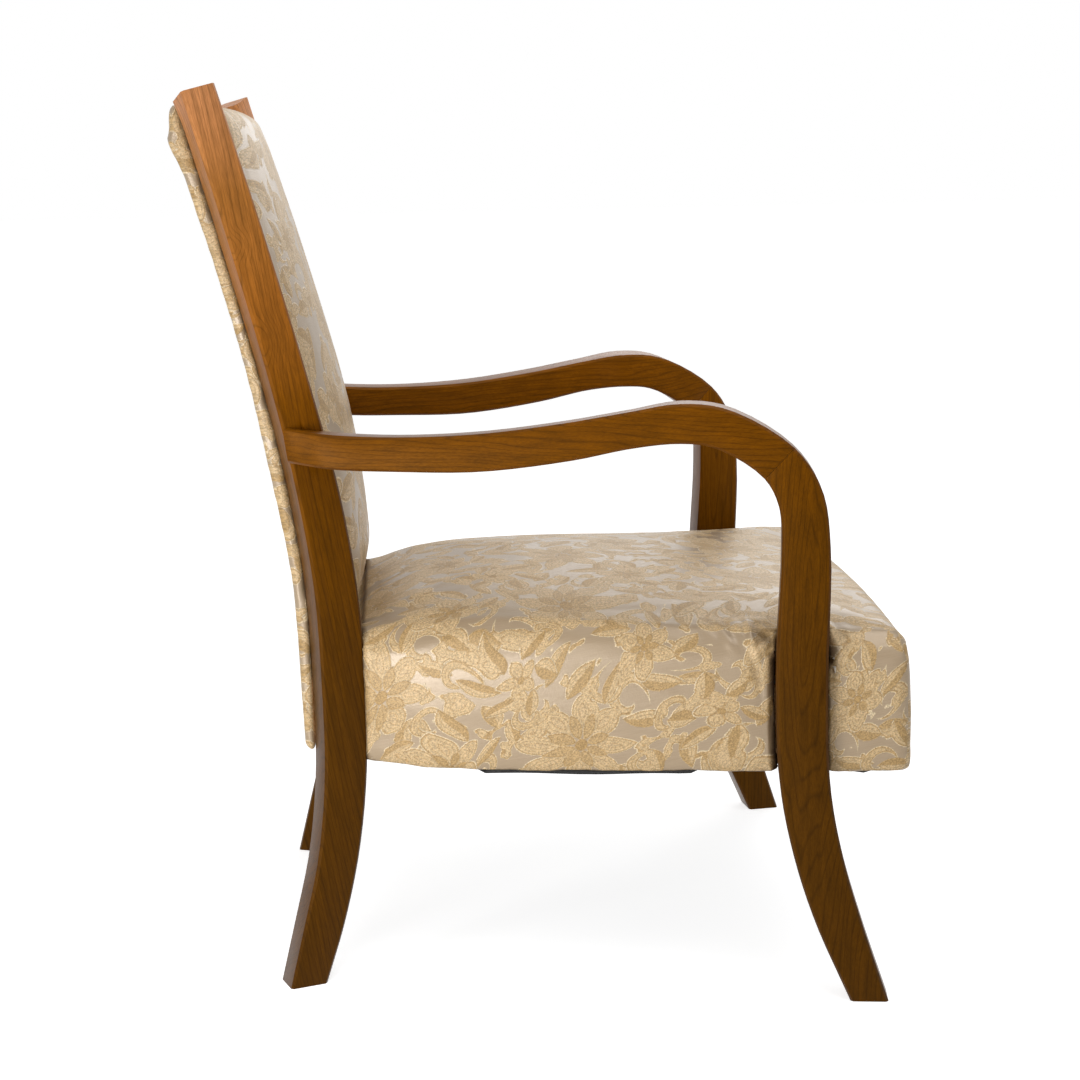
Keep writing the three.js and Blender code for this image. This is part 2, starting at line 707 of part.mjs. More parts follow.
function springPath(base) {
  const stepsPerTurn = 8;
  const steps = Math.round(springTurns * stepsPerTurn);
  const points = [];
  for (let i = 0; i <= steps; i += 1) {
    const share = i / steps;
    const waist = (springEndRadius - springWaistRadius) * Math.sin(Math.PI * share);
    const radius = springEndRadius - waist;
    const angle = 2 * Math.PI * i / stepsPerTurn;
    points.push(new THREE.Vector3(base.x + radius * Math.cos(angle), base.y + radius * Math.sin(angle),
      base.z + springWire / 2 + share * (springHeight - springWire)));
  }
  return points;
}

function spring(base) {
  const path = springPath(base);
  const sides = 4;
  return loft(path.map((point) => {
    const outward = new THREE.Vector3(point.x - base.x, point.y - base.y, 0).normalize();
    const ring = [];
    for (let side = 0; side < sides; side += 1) {
      const angle = 2 * Math.PI * side / sides;
      const p = point.clone().addScaledVector(outward, springWire / 2 * Math.cos(angle));
      p.z += springWire / 2 * Math.sin(angle);
      ring.push(p);
    }
    return ring;
  }));
}

const springRowSetback = (share) => frontRailBack + share * (rearRailSetback - frontRailBack);
const columnHalfWidth = (setback) => railHalfWidth(setback) - railAcross;

// As many columns of springs as fit in the rear row, in shares of half the width inside the rails
function springColumns() {
  const rearRow = springRowSetback(springRowShares.at(-1));
  const space = 2 * (columnHalfWidth(rearRow) - hessianSlope);
  const count = Math.max(1, Math.floor(space / springPitch));
  const columns = [];
  for (let i = 0; i < count; i += 1) {
    columns.push((2 * i + 1 - count) / (count + springMarginShare));
  }
  return columns;
}

// A flat strap between two points in plan, between two heights
function strap(start, end, bottom, top) {
  const along = new THREE.Vector2(end[0] - start[0], end[1] - start[1]).normalize();
  const side = new THREE.Vector2(-along.y, along.x).multiplyScalar(strapWidth / 2);
  return prism([[start[0] - side.x, start[1] - side.y], [end[0] - side.x, end[1] - side.y],
    [end[0] + side.x, end[1] + side.y], [start[0] + side.x, start[1] + side.y]], bottom, top);
}

function addSpringing() {
  const columns = springColumns();
  const top = springSeat - clearance;
  const lowTop = top - strapThickness - clearance;
  columns.forEach((column, i) => {
    const front = frontRailSetback + railThickness / 2;
    const back = rearRailSetback + railThickness / 2;
    add(`webbing_long_${i + 1}`, strap([column * columnHalfWidth(front), front],
      [column * columnHalfWidth(back), back], top - strapThickness, top), 'webbing');
  });
  springRowShares.forEach((row, i) => {
    const setback = springRowSetback(row);
    const half = railHalfWidth(setback) - railThickness / 2;
    add(`webbing_cross_${i + 1}`, strap([-half, setback], [half, setback],
      lowTop - strapThickness, lowTop), 'webbing');
    columns.forEach((column, j) => {
      const base = new THREE.Vector3(column * columnHalfWidth(setback), setback, springSeat);
      add(`seat_spring_${i + 1}_${j + 1}`, spring(base), 'steel');
    });
  });
}

// The back. Its frame stands between the posts and follows their curve.

const stileOffset = postThickness + clearance; // outer face of the post to the stile

function stileLine(ahead) {
  const knots = [];
  const count = 9;
  for (let i = 0; i < count; i += 1) {
    const height = stileBottom + (stileTop - stileBottom) * i / (count - 1);
    const point = pointAtHeight(postRear, height);
    knots.push(new THREE.Vector3(point.x + ahead, 0, point.z));
  }
  return new THREE.CatmullRomCurve3(knots, false, 'centripetal');
}

const stileFront = stileSetIn + stileDepth;
const stileShape = { rear: stileLine(stileSetIn), front: stileLine(stileFront),
  outer: constant(-stileOffset), inner: constant(-stileOffset - stileThickness), frame: postFrame,
  steps: 16 };
const stileCutter = bar({ ...stileShape, grow: clearance });

// The level of the stiles' inner rear corners, ahead of the posts' rear edges
const stileLevel = stileSetIn - (stileThickness + clearance) * Math.tan(-postYaw);

// A screw from the inner face of the stile into the post
function stileScrew() {
  const middle = pointAtHeight(postRear, stileScrewHeight).x + (stileSetIn + stileFront) / 2;
  const head = { diameter: screwHeadDiameter, height: screwHeadHeight };
  return pinAndHole(pointIn(postFrame, middle, -stileOffset - stileThickness, stileScrewHeight),
    directionIn(postFrame, 0, 1, 0), stileThickness + clearance + stileScrewBite, screwDiameter, head);
}

// How far the posts lean back at a height
function leanAt(height) {
  const span = stileDepth;
  const low = innerPost(postRear, height - span);
  const high = innerPost(postRear, height + span);
  return Math.atan2(high.y - low.y, high.z - low.z);
}

// A bar across the back, turned to the lean of the posts
function crossBar(height, tall, ahead, deep, half) {
  const rear = innerPost(postRear, height, ahead);
  return new THREE.BoxGeometry(2 * half, deep, tall).rotateX(-leanAt(height))
    .translate(0, rear.y - deep / 2, rear.z);
}

function backRail(height) {
  const half = innerPost(postRear, height, stileSetIn, stileThickness / 2).x;
  return cut(crossBar(height, backRailHeight, stileLevel + 2 * clearance, backRailDepth, half),
    stileCutter, mirrored(stileCutter));
}

function backStrap(share) {
  const height = stileBottom + share * (stileTop - stileBottom);
  const half = innerPost(postFront, height, 0, stileThickness / 3).x;
  return crossBar(height, strapWidth, stileFront + 4 * clearance, strapThickness, half);
}

const padRearGap = stileFront + strapThickness + 8 * clearance;

const crownShare = through(backCrownShares);

// One level of the back pad, seen from above. skin shrinks it, nose draws its front back
// towards its rear at the top and bottom, and rearGap sets how far back it reaches.
function backRing(height, skin, nose, rearGap) {
  const frontEdge = innerPost(postFront, height);
  const restEdge = innerPost(postRear, height, padRearGap);
  const rearEdge = innerPost(postRear, height, rearGap);
  const gap = clearance + skin;
  const rearHalf = rearEdge.x - gap;
  const crown = backCrown * crownShare((height - backPadBottom) / (backPadTop - backPadBottom));
  const swell = (share) => (1 - Math.abs(share) ** backCrownPower) * (crown - backEdgeProud);
  const bulge = (share) => backEdgeProud + swell(share);
  const drawn = (y) => y + nose * (restEdge.y - y);
  const sideHalf = frontEdge.x + nose * (restEdge.x - frontEdge.x) - gap;
  const side = new THREE.Vector3(sideHalf, drawn(frontEdge.y), height);
  const back = new THREE.Vector3(rearHalf, rearEdge.y, height);
  const flip = (p) => new THREE.Vector3(-p.x, p.y, p.z);
  const points = [];
  const steps = 12;
  for (let i = 0; i <= steps; i += 1) {
    const share = -1 + 2 * i / steps;
    points.push(new THREE.Vector3(share * (sideHalf - backEdgeProud),
      drawn(frontEdge.y - bulge(share) + skin), height));
  }
  return [...points, side, back, new THREE.Vector3(0, rearEdge.y, height), flip(back), flip(side)];
}

// The pad's outer form. Above the stiles it reaches back over the top rail, by its own gap.
function backForm(skin, rearGap, topRearGap) {
  const top = backPadTop - skin;
  const bottom = backPadBottom + skin;
  const ledge = stileTop + clearance;
  const span = ledge - bottom - backEdgeRadius;
  const levels = 10;
  const lowEnd = backEndShares.map(([rise, nose]) => (
    backRing(bottom + rise * backEdgeRadius, skin, nose, rearGap)));
  const middle = [];
  for (let i = 0; i <= levels; i += 1) {
    middle.push(backRing(bottom + backEdgeRadius + span * i / levels, skin, 0, rearGap));
  }
  const over = [ledge + clearance, top - backEdgeRadius].map((height) => (
    backRing(height, skin, 0, topRearGap)));
  const topEnd = backEndShares.toReversed().map(([rise, nose]) => (
    backRing(top - rise * backEdgeRadius, skin, nose, topRearGap)));
  return loft([...lowEnd, ...middle, ...over, ...topEnd]);
}

function backPadding() {
  return backForm(coverThickness + clearance, padRearGap, stileLevel);
}

function backCover() {
  const hollow = backForm(coverThickness, -overrun, -overrun);
  return cut(backForm(0, padRearGap, stileLevel), hollow);
}

// One level of the outside back. It lies on the stiles and fills the space between the posts.
function outsideRing(height, skin) {
  const edge = innerPost(postRear, height);
  const seat = innerPost(postRear, height, stileLevel - clearance);
  const rise = height - backPadTop + outsideBackRollInset;
  const roll = Math.exp(-((rise / (rise > 0 ? outsideBackRollSpan : outsideBackRollTail)) ** 2));
  const share = (height - outsideBackBottom) / (backPadTop - outsideBackBottom);
  const swell = Math.sin(Math.PI * share ** outsideBackSwellPower) ** 2;
  const proud = outsideBackProud + outsideBackRoll * roll + outsideBackSwell * swell - skin;
  const half = edge.x - clearance;
  const back = edge.y + proud;
  const soft = outsideBackProud / 3;
  const points = [[seat.x - clearance, seat.y], [half, edge.y], [half, back - soft],
    [half - soft, back], [half / 2, back + soft / 3], [0, back + soft / 2]];
  const other = points.slice(0, -1).toReversed().map(([x, y]) => [-x, y]);
  return [...points, ...other].map(([x, y]) => new THREE.Vector3(x, y, height));
}

function outsideBack() {
  const rings = [];
  const levels = 22;
  const soft = outsideBackProud / 2;
  const span = backPadTop - outsideBackBottom - 2 * soft;
  rings.push(outsideRing(outsideBackBottom, soft));
  for (let i = 0; i <= levels; i += 1) {
    rings.push(outsideRing(outsideBackBottom + soft + span * i / levels, 0));
  }
  rings.push(outsideRing(backPadTop, soft));
  return loft(rings);
}

// Assembly

const floorCutter = boxBetween(new THREE.Vector3(-armReach, -armReach, -overrun),
  new THREE.Vector3(armReach, 2 * armReach, 0));

const knee = kneeDowels();
const screw = armScrew();
const bolts = legBolts();
const railPins = railDowels();
const backScrew = stileScrew();
const rear = rearRail();

function addFrame() {
  const arm = bar({ ...limbShape, to: kneeShare, steps: armSteps, endGap: clearance / 2 });
  const postSide = boxBetween(
    new THREE.Vector3(-postSweepDepth, -3 * postThickness, armScrewHeight - 2 * armMidThickness),
    new THREE.Vector3(2 * postSweepDepth, clearance, armScrewHeight + 2 * armMidThickness), postFrame);
  addPair('armrest', cut(arm, postSide, screw.hole, ...knee.map((pinned) => pinned.hole)), 'wood');

  const leg = bar({ ...limbShape, from: kneeShare, steps: legSteps, startGap: clearance / 2 });
  addPair('front_leg', cut(leg, floorCutter, sideRailBlank(clearance),
    ...[...knee, ...bolts].map((pinned) => pinned.hole)), 'wood');

  addPair('rear_leg', cut(bar(postShape), floorCutter, rearRail(clearance).tenon, screw.hole,
    backScrew.hole, ...railPins.map((pinned) => pinned.hole)), 'wood');

  addPair('side_rail', cut(sideRailBlank(), postCutter,
    ...[...bolts, ...railPins].map((pinned) => pinned.hole)), 'hiddenWood');
  add('front_rail', frontRail(), 'hiddenWood');
  add('rear_rail', join(cut(rear.shoulder, postCutter, mirrored(postCutter)), rear.tenon), 'hiddenWood');
  addPair('front_corner_block', cornerBlock(frontRailBack, 1), 'hiddenWood');
  addPair('rear_corner_block', cut(cornerBlock(rearRailSetback, -1), postCutter), 'hiddenWood');
}

function addFasteners() {
  knee.forEach((pinned, i) => addPair(`knee_dowel_${i + 1}`, pinned.solid, 'hiddenWood'));
  addPair('arm_screw', screw.solid, 'steel');
  addPair('back_screw', backScrew.solid, 'steel');
  bolts.forEach((pinned, i) => addPair(`leg_bolt_${i + 1}`, pinned.solid, 'steel'));
  railPins.forEach((pinned, i) => addPair(`rail_dowel_${i + 1}`, pinned.solid, 'hiddenWood'));
}

function addSeat() {
  add('seat_hessian', seatHessian(), 'webbing');
  add('seat_padding', seatPadding(), 'wadding');
  add('seat_cover', seatCover(), 'brocade');
  add('dust_cover', dustCover(), 'lining');
}

function addBack() {
  addPair('back_stile', cut(bar(stileShape), backScrew.hole), 'hiddenWood');
  add('back_top_rail', backRail(backTopRailHeight), 'hiddenWood');
  add('back_low_rail', backRail(backLowRailHeight), 'hiddenWood');
  backStrapShares.forEach((share, i) => add(`back_webbing_${i + 1}`, backStrap(share), 'webbing'));
  add('back_padding', backPadding(), 'wadding');
  add('back_cover', backCover(), 'brocade');
  add('outside_back', outsideBack(), 'brocade');
}

addFrame();
addFasteners();
addSpringing();
addSeat();
addBack();

// The origin goes to the middle of the footprint
const reach = new THREE.Box3().setFromObject(chair);
chair.position.y = -(reach.min.y + reach.max.y) / 2;

export default chair;
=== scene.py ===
# %% [markdown]
# An upholstered armchair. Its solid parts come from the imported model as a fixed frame, in metres,
# with the sitter facing -Y. This file dresses them: wood with rounded edges and grain, a stuffed
# seat and back under a woven brocade, and the hidden pieces in their own materials.

# %% Load the frame
import math
import bpy
import numpy as np
from mathutils import Matrix, Vector
from mathutils.bvhtree import BVHTree


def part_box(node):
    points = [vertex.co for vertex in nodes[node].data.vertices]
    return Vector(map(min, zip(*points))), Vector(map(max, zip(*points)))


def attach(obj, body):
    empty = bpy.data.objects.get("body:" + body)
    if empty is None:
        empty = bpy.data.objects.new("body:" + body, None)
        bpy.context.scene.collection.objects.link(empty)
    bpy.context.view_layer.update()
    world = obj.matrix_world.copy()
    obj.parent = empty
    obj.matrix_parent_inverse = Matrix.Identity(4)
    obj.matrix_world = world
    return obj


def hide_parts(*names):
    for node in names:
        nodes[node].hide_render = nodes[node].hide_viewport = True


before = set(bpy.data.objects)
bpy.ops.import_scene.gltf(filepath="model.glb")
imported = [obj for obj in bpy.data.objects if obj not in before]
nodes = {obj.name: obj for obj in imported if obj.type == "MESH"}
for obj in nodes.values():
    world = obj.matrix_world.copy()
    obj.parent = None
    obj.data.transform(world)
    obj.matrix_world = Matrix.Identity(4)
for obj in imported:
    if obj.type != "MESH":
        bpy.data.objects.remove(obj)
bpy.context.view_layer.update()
MM = 0.001
print("frame loaded:", len(nodes), "nodes")

# %% [markdown]
# The camera stands on the sitter's right, at about the height of the chair's top, and looks a
# little down. A place, a heading, a tilt and a small roll say all of it. The long lens keeps
# the near and far legs close in size.

# %% Camera
CAMERA_PLACE = (-2.2649, 0.1420, 0.8084)
CAMERA_HEADING = 93.748  # degrees clockwise from +Y
CAMERA_TILT = 10.147  # degrees down
CAMERA_ROLL = -1.095
CAMERA_LENS = 71.667  # mm
SENSOR_WIDTH = 36  # mm

bpy.ops.object.camera_add(location=CAMERA_PLACE)
camera = bpy.context.object
heading = Matrix.Rotation(-math.radians(CAMERA_HEADING), 3, "Z")
tilt = Matrix.Rotation(math.radians(90 - CAMERA_TILT), 3, "X")
roll = Matrix.Rotation(math.radians(CAMERA_ROLL), 3, "Z")
camera.rotation_euler = (heading @ tilt @ roll).to_euler()
camera.data.lens = CAMERA_LENS
camera.data.sensor_width = SENSOR_WIDTH
bpy.context.scene.camera = camera
print("camera at", tuple(camera.location))

# %% [markdown]
# Materials are built from nodes. One function turns a colour written as a hex value into the
# linear numbers that a shader wants, and one adds a node with its settings and links. Its dict of
# inputs says what each socket gets: a number, a colour, or the output of another node.


# %% Helpers for materials
def colour(text):
    """A colour as sRGB hex, such as '#7a4a1e', in linear numbers with an alpha of 1."""
    parts = [int(text[i:i + 2], 16) / 255 for i in (1, 3, 5)]
    linear = [c / 12.92 if c <= 0.04045 else ((c + 0.055) / 1.055) ** 2.4 for c in parts]
    return (*linear, 1)


def fill(tree, made, inputs):
    """Gives a node's sockets what they need: a number, a colour, or the output of another node."""
    for name, value in inputs.items():
        if isinstance(value, bpy.types.NodeSocket):
            tree.links.new(value, made.inputs[name])
        else:
            made.inputs[name].default_value = value


def node(tree, kind, inputs, output=0, stops=(), **settings):
    """Adds a node and gives back one output. stops are a colour ramp's places and colours."""
    made = tree.nodes.new("ShaderNode" + kind)
    for name, value in settings.items():
        setattr(made, name, value)
    fill(tree, made, inputs)
    for i, (place, text) in enumerate(stops):
        elements = made.color_ramp.elements
        stop = elements[i] if i < len(elements) else elements.new(1)
        stop.position = place
        stop.color = colour(text)
    return made.outputs[output]


def new_material(name):
    """An empty material, its tree and its Principled shader."""
    material = bpy.data.materials.new(name)
    material.use_nodes = True
    tree = material.node_tree
    return material, tree, tree.nodes["Principled BSDF"]


print("material helpers ready")

# %% [markdown]
# The light is that of a plain studio: one soft box overhead, a near one that the seat's side
# reflects to the camera, one behind, weaker ones in front and on the far side, and a pale world all
# round. Together they light a surface so that it renders about as it is written. The floor and the
# world look white to the camera, and in reflections, through Light Path.


# %% Floor, world and lamps
FLOOR_SIZE = 60
WORLD_LEVEL = 0.38
SKY_WHITE = 1
FLOOR_LIFT = 0.71  # what the floor gives off to the camera, so that it and the sky match
# name, place, what it points at, its width and height in metres, and watts
LAMPS = [
    ("overhead box", (-0.7, -0.5, 2.5), (0, 0, 0.4), (1.6, 1.8), 22),
    ("side box", (-1.15, 0.62, 0.36), (-0.2, 0.12, 0.38), (0.48, 0.46), 6.8),
    ("rear box", (-1.5, 1.9, 0.55), (0, 0.3, 0.6), (0.5, 0.7), 10),
    ("front box", (-2.4, -1.9, 1.5), (0, 0, 0.4), (1.4, 1.4), 2),
    ("far box", (2.6, -0.8, 1.8), (0, 0, 0.4), (1.6, 1.6), 14),
]


def seen_directly(tree):
    """1 for rays from the camera and for reflected or refracted ones, otherwise 0."""
    path = node(tree, "LightPath", {}).node
    camera_ray, glossy, through = (
        path.outputs[f"Is {kind} Ray"] for kind in ("Camera", "Glossy", "Transmission"))
    both = node(tree, "Math", {0: camera_ray, 1: glossy}, operation="MAXIMUM")
    return node(tree, "Math", {0: both, 1: through}, operation="MAXIMUM")


def make_world():
    world = bpy.data.worlds.new("studio")
    bpy.context.scene.world = world
    world.use_nodes = True
    tree = world.node_tree
    level = node(tree, "MapRange", {0: seen_directly(tree), 3: WORLD_LEVEL, 4: SKY_WHITE})
    fill(tree, tree.nodes["Background"], {"Color": colour("#ffffff"), "Strength": level})


def make_floor():
    bpy.ops.mesh.primitive_plane_add(size=FLOOR_SIZE)
    floor = bpy.context.object
    floor.name = "floor"
    material, tree, shader = new_material("pale paper")
    lift = node(tree, "Math", {0: seen_directly(tree), 1: FLOOR_LIFT}, operation="MULTIPLY")
    fill(tree, shader, {"Base Color": colour("#e6e6e6"), "Roughness": 1, "Specular IOR Level": 0,
                        "Emission Color": colour("#ffffff"), "Emission Strength": lift})
    floor.data.materials.append(material)


def soft_box(name, place, target, size, power):
    bpy.ops.object.light_add(type="AREA", location=place)
    lamp = bpy.context.object
    lamp.name = name
    lamp.rotation_euler = (Vector(target) - Vector(place)).to_track_quat("-Z", "Y").to_euler()
    lamp.data.shape = "RECTANGLE"
    lamp.data.size, lamp.data.size_y = size
    lamp.data.energy = power
    lamp.visible_camera = False


make_world()
make_floor()
for lamp in LAMPS:
    soft_box(*lamp)
print("studio ready:", len(LAMPS), "soft boxes")

# %% [markdown]
# The brocade is a satin cloth with large flowers, leaves and curls woven into it in a thicker,
# stitched yarn. A picture could hold such a drawing, but nodes keep it sharp at any distance. Each
# motif is a formula for how deep inside it a point lies, in millimetres: a leaf is where two
# circles overlap, and a curl follows a spiral. Motifs stand in rings round the points of a
# half-drop repeat, as on a loom, and the later ones lie over the earlier ones. A slow wobble of
# the cloth's coordinates then makes every flower a little different.

# %% The woven drawing
REPEAT_WIDTH = 196  # mm
REPEAT_HEIGHT = 168
LATTICES = {"great": (0, 0), "spray": (REPEAT_WIDTH / 3, REPEAT_HEIGHT / 2),
            "small": (REPEAT_WIDTH * 2 / 3, 0)}
OUTSIDE = -9  # mm, deeper than any line is wide

# kind, lattice, how many in the ring, turn of the ring, distance from its middle, tilt of a
# motif, its sizes in mm, how dark its fill is, and how much darker its second half is
MOTIFS = [
    ("curl", "great", 4, 52, 66, 70, (7, 21, 6.5), 0, 0),
    ("leaf", "great", 5, 20, 66, 35, (20, 9), 0, 0.8),
    ("curl", "spray", 3, 10, 46, 200, (6, 19, 5.5), 0.2, 0),
    ("leaf", "spray", 3, 60, 44, -50, (21, 9), 0, 0.7),
    ("leaf", "spray", 6, 0, 32, 25, (17, 8.5), 0, 0.9),
    ("curl", "small", 3, 80, 42, 120, (7, 20, 5.5), 0.1, 0),
    ("leaf", "small", 5, 30, 42, -35, (19, 8.5), 0, 0.8),
    ("leaf", "great", 8, 8, 34, 0, (21, 12), 0, 0),
    ("leaf", "great", 8, 30.5, 20, 0, (14, 6.8), 0.6, 0),
    ("leaf", "great", 1, 0, 0, 0, (7.5, 7.5), 1, 0),
    ("leaf", "spray", 5, 0, 11, 0, (10, 7.2), 0.1, 0),
    ("leaf", "spray", 1, 0, 0, 0, (4, 4), 1, 0),
    ("leaf", "small", 6, 20, 20, 0, (15, 11), 0, 0),
    ("leaf", "small", 6, 50, 11, 0, (8, 4.6), 0.8, 0),
    ("leaf", "small", 1, 0, 0, 0, (5, 5), 1, 0),
]


def lattice(tree, cloth, east, north):
    """How far a point lies from the nearest point of a half-drop lattice, and which way."""
    moved = node(tree, "VectorMath", {0: cloth, 1: (east, north, 0)}, operation="SUBTRACT")
    size = (REPEAT_WIDTH, REPEAT_HEIGHT, 1)
    share = node(tree, "VectorMath", {0: moved, 1: size}, operation="DIVIDE")
    across = node(tree, "SeparateXYZ", {0: share})
    column = node(tree, "Math", {0: across}, operation="ROUND")
    up = node(tree, "Math", {0: column, 1: -0.5, 2: across.node.outputs[1]},
              operation="MULTIPLY_ADD")
    row = node(tree, "Math", {0: up}, operation="ROUND")
    corner = node(tree, "CombineXYZ", {0: column, 1: row})
    point = node(tree, "CombineXYZ", {0: across, 1: up})
    inside = node(tree, "VectorMath", {0: point, 1: corner}, operation="SUBTRACT")
    place = node(tree, "VectorMath", {0: inside, 1: size}, operation="MULTIPLY")
    x = node(tree, "SeparateXYZ", {0: place})
    radius = node(tree, "VectorMath", {0: place}, output=1, operation="LENGTH")
    angle = node(tree, "Math", {0: x.node.outputs[1], 1: x}, operation="ARCTAN2")
    return radius, angle


def spot(tree, at, count, turn, middle, tilt_angle):
    """The place within one of a ring of motifs, from its middle, with x outwards."""
    radius, angle = at
    half_step = math.pi / count
    turned = node(tree, "Math", {0: angle, 1: math.radians(turn)}, operation="SUBTRACT")
    folded = node(tree, "Math", {0: turned, 1: half_step, 2: -half_step}, operation="WRAP")
    cosine = node(tree, "Math", {0: folded}, operation="COSINE")
    sine = node(tree, "Math", {0: folded}, operation="SINE")
    direction = node(tree, "CombineXYZ", {0: cosine, 1: sine})
    place = node(tree, "VectorMath", {0: direction, "Scale": radius}, operation="SCALE")
    turn_back = (0, 0, math.radians(tilt_angle))
    return node(tree, "Mapping", {"Vector": place, "Location": (middle, 0, 0),
                                  "Rotation": turn_back}, vector_type="TEXTURE")


def leaf_depth(tree, place, half_length, half_width):
    """How deep a point lies in a leaf or petal, which is where two circles overlap."""
    radius = (half_length ** 2 + half_width ** 2) / (2 * half_width)
    folded = node(tree, "VectorMath", {0: place}, operation="ABSOLUTE")
    moved = node(tree, "VectorMath", {0: folded, 1: (0, radius - half_width, 0)}, operation="ADD")
    away = node(tree, "VectorMath", {0: moved}, output=1, operation="LENGTH")
    return node(tree, "Math", {0: radius, 1: away}, operation="SUBTRACT")


def curl_depth(tree, place, first, last, width):
    """How deep a point lies in a crescent that winds once round, from one radius to another."""
    x = node(tree, "SeparateXYZ", {0: place})
    away = node(tree, "VectorMath", {0: place}, output=1, operation="LENGTH")
    angle = node(tree, "Math", {0: x.node.outputs[1], 1: x}, operation="ARCTAN2")
    wound = node(tree, "Math", {0: angle, 1: math.tau, 2: 0}, operation="WRAP")
    path = node(tree, "Math", {0: wound, 1: (last - first) / math.tau, 2: first},
                operation="MULTIPLY_ADD")
    gap = node(tree, "Math", {0: away, 1: path}, operation="SUBTRACT")
    beside = node(tree, "Math", {0: gap}, operation="ABSOLUTE")
    half = node(tree, "Math", {0: wound, 1: 0.5}, operation="MULTIPLY")
    swell = node(tree, "Math", {0: half}, operation="SINE")
    room = node(tree, "Math", {0: swell, 1: width}, operation="MULTIPLY")
    return node(tree, "Math", {0: room, 1: beside}, operation="SUBTRACT")


def woven_drawing(tree, cloth):
    """A vector: how deep a point lies in its uppermost motif, in mm, and how dark the fill is."""
    at = {name: lattice(tree, cloth, *place) for name, place in LATTICES.items()}
    drawn = node(tree, "CombineXYZ", {0: OUTSIDE})
    for kind, name, count, turn, middle, tilted, sizes, dark, split in MOTIFS:
        place = spot(tree, at[name], count, turn, middle, tilted)
        depth = (leaf_depth if kind == "leaf" else curl_depth)(tree, place, *sizes)
        if split:
            y = node(tree, "SeparateXYZ", {0: place}, output=1)
            half = node(tree, "Math", {0: y, 1: 0}, operation="GREATER_THAN")
            dark = node(tree, "Math", {0: half, 1: split, 2: dark}, operation="MULTIPLY_ADD")
        motif = node(tree, "CombineXYZ", {0: depth, 1: dark})
        inside = node(tree, "Math", {0: depth, 1: 0}, operation="GREATER_THAN")
        drawn = node(tree, "Mix", {0: inside, 4: drawn, 5: motif}, output=1, data_type="VECTOR")
    return drawn


print("drawing ready:", len(MOTIFS), "kinds of motif")

# %% [markdown]
# Silk-like satin shines where it floats over many threads, and the stitched figure is duller and
# rougher. So the drawing sets the colour, the roughness and the height of the cloth together. Each
# motif has a pale rim, thin gold lines that follow its edge, like contours on a map, and a
# stippled fill. Between the motifs lie patches of the same stitching, where a noise is high. The
# stitches are about 1.3 mm long, which a noise of that size shows. An attribute of the mesh tells
# where shade is painted on the cloth: in its hollows, slots and dents, and beside legs and posts.

# %% Brocade
WOBBLE = 46  # mm, how far the slow noise may carry a point of the drawing
WOBBLE_SIZE = 72  # mm across
FRAY = 2.2  # mm, the stepped edge that the stitches give a motif
STITCH = 1.3  # mm
PATCH_SIZE = 26  # mm across
PATCH_LEVEL = 0.55  # of the noise, where a patch begins
PATCH_SLOPE = 60  # mm of depth for 1 of the noise
CONTOURS = 12  # mm of depth that the ramp of contours covers
YARN_STOPS = [
    (0.06, "#d3bf9c"), (0.11, "#aa8a5b"), (0.17, "#ae9064"), (0.23, "#c3a981"), (0.40, "#c0a57c"),
    (0.44, "#ab8c5e"), (0.49, "#c2a880"), (0.68, "#bfa47b"), (0.73, "#a9895b"), (0.78, "#c1a67e")]
YARN_DARK = "#a78858"
SATIN_STOPS = [(0.3, "#978163"), (0.7, "#9e886b")]
# painted shade: the dark brown painted into hollows, slots, dents and beside the legs and posts
PAINTED_SHADE_COLOUR = "#3c2a16"
RIB = (0.04, 0.9, 1)  # of the satin's floats, per mm along, across and up
SPECKS = (0.7, 1.25)  # how dark and how pale single stitches are
# roughness, metallic and specular level of the satin and of the yarn: the satin floats shine
ROUGHNESS, METAL, LUSTRE = (0.34, 0.46), (0.15, 0.05), (0.9, 0.35)
YARN_EDGE = 1.2  # mm over which the figure rises


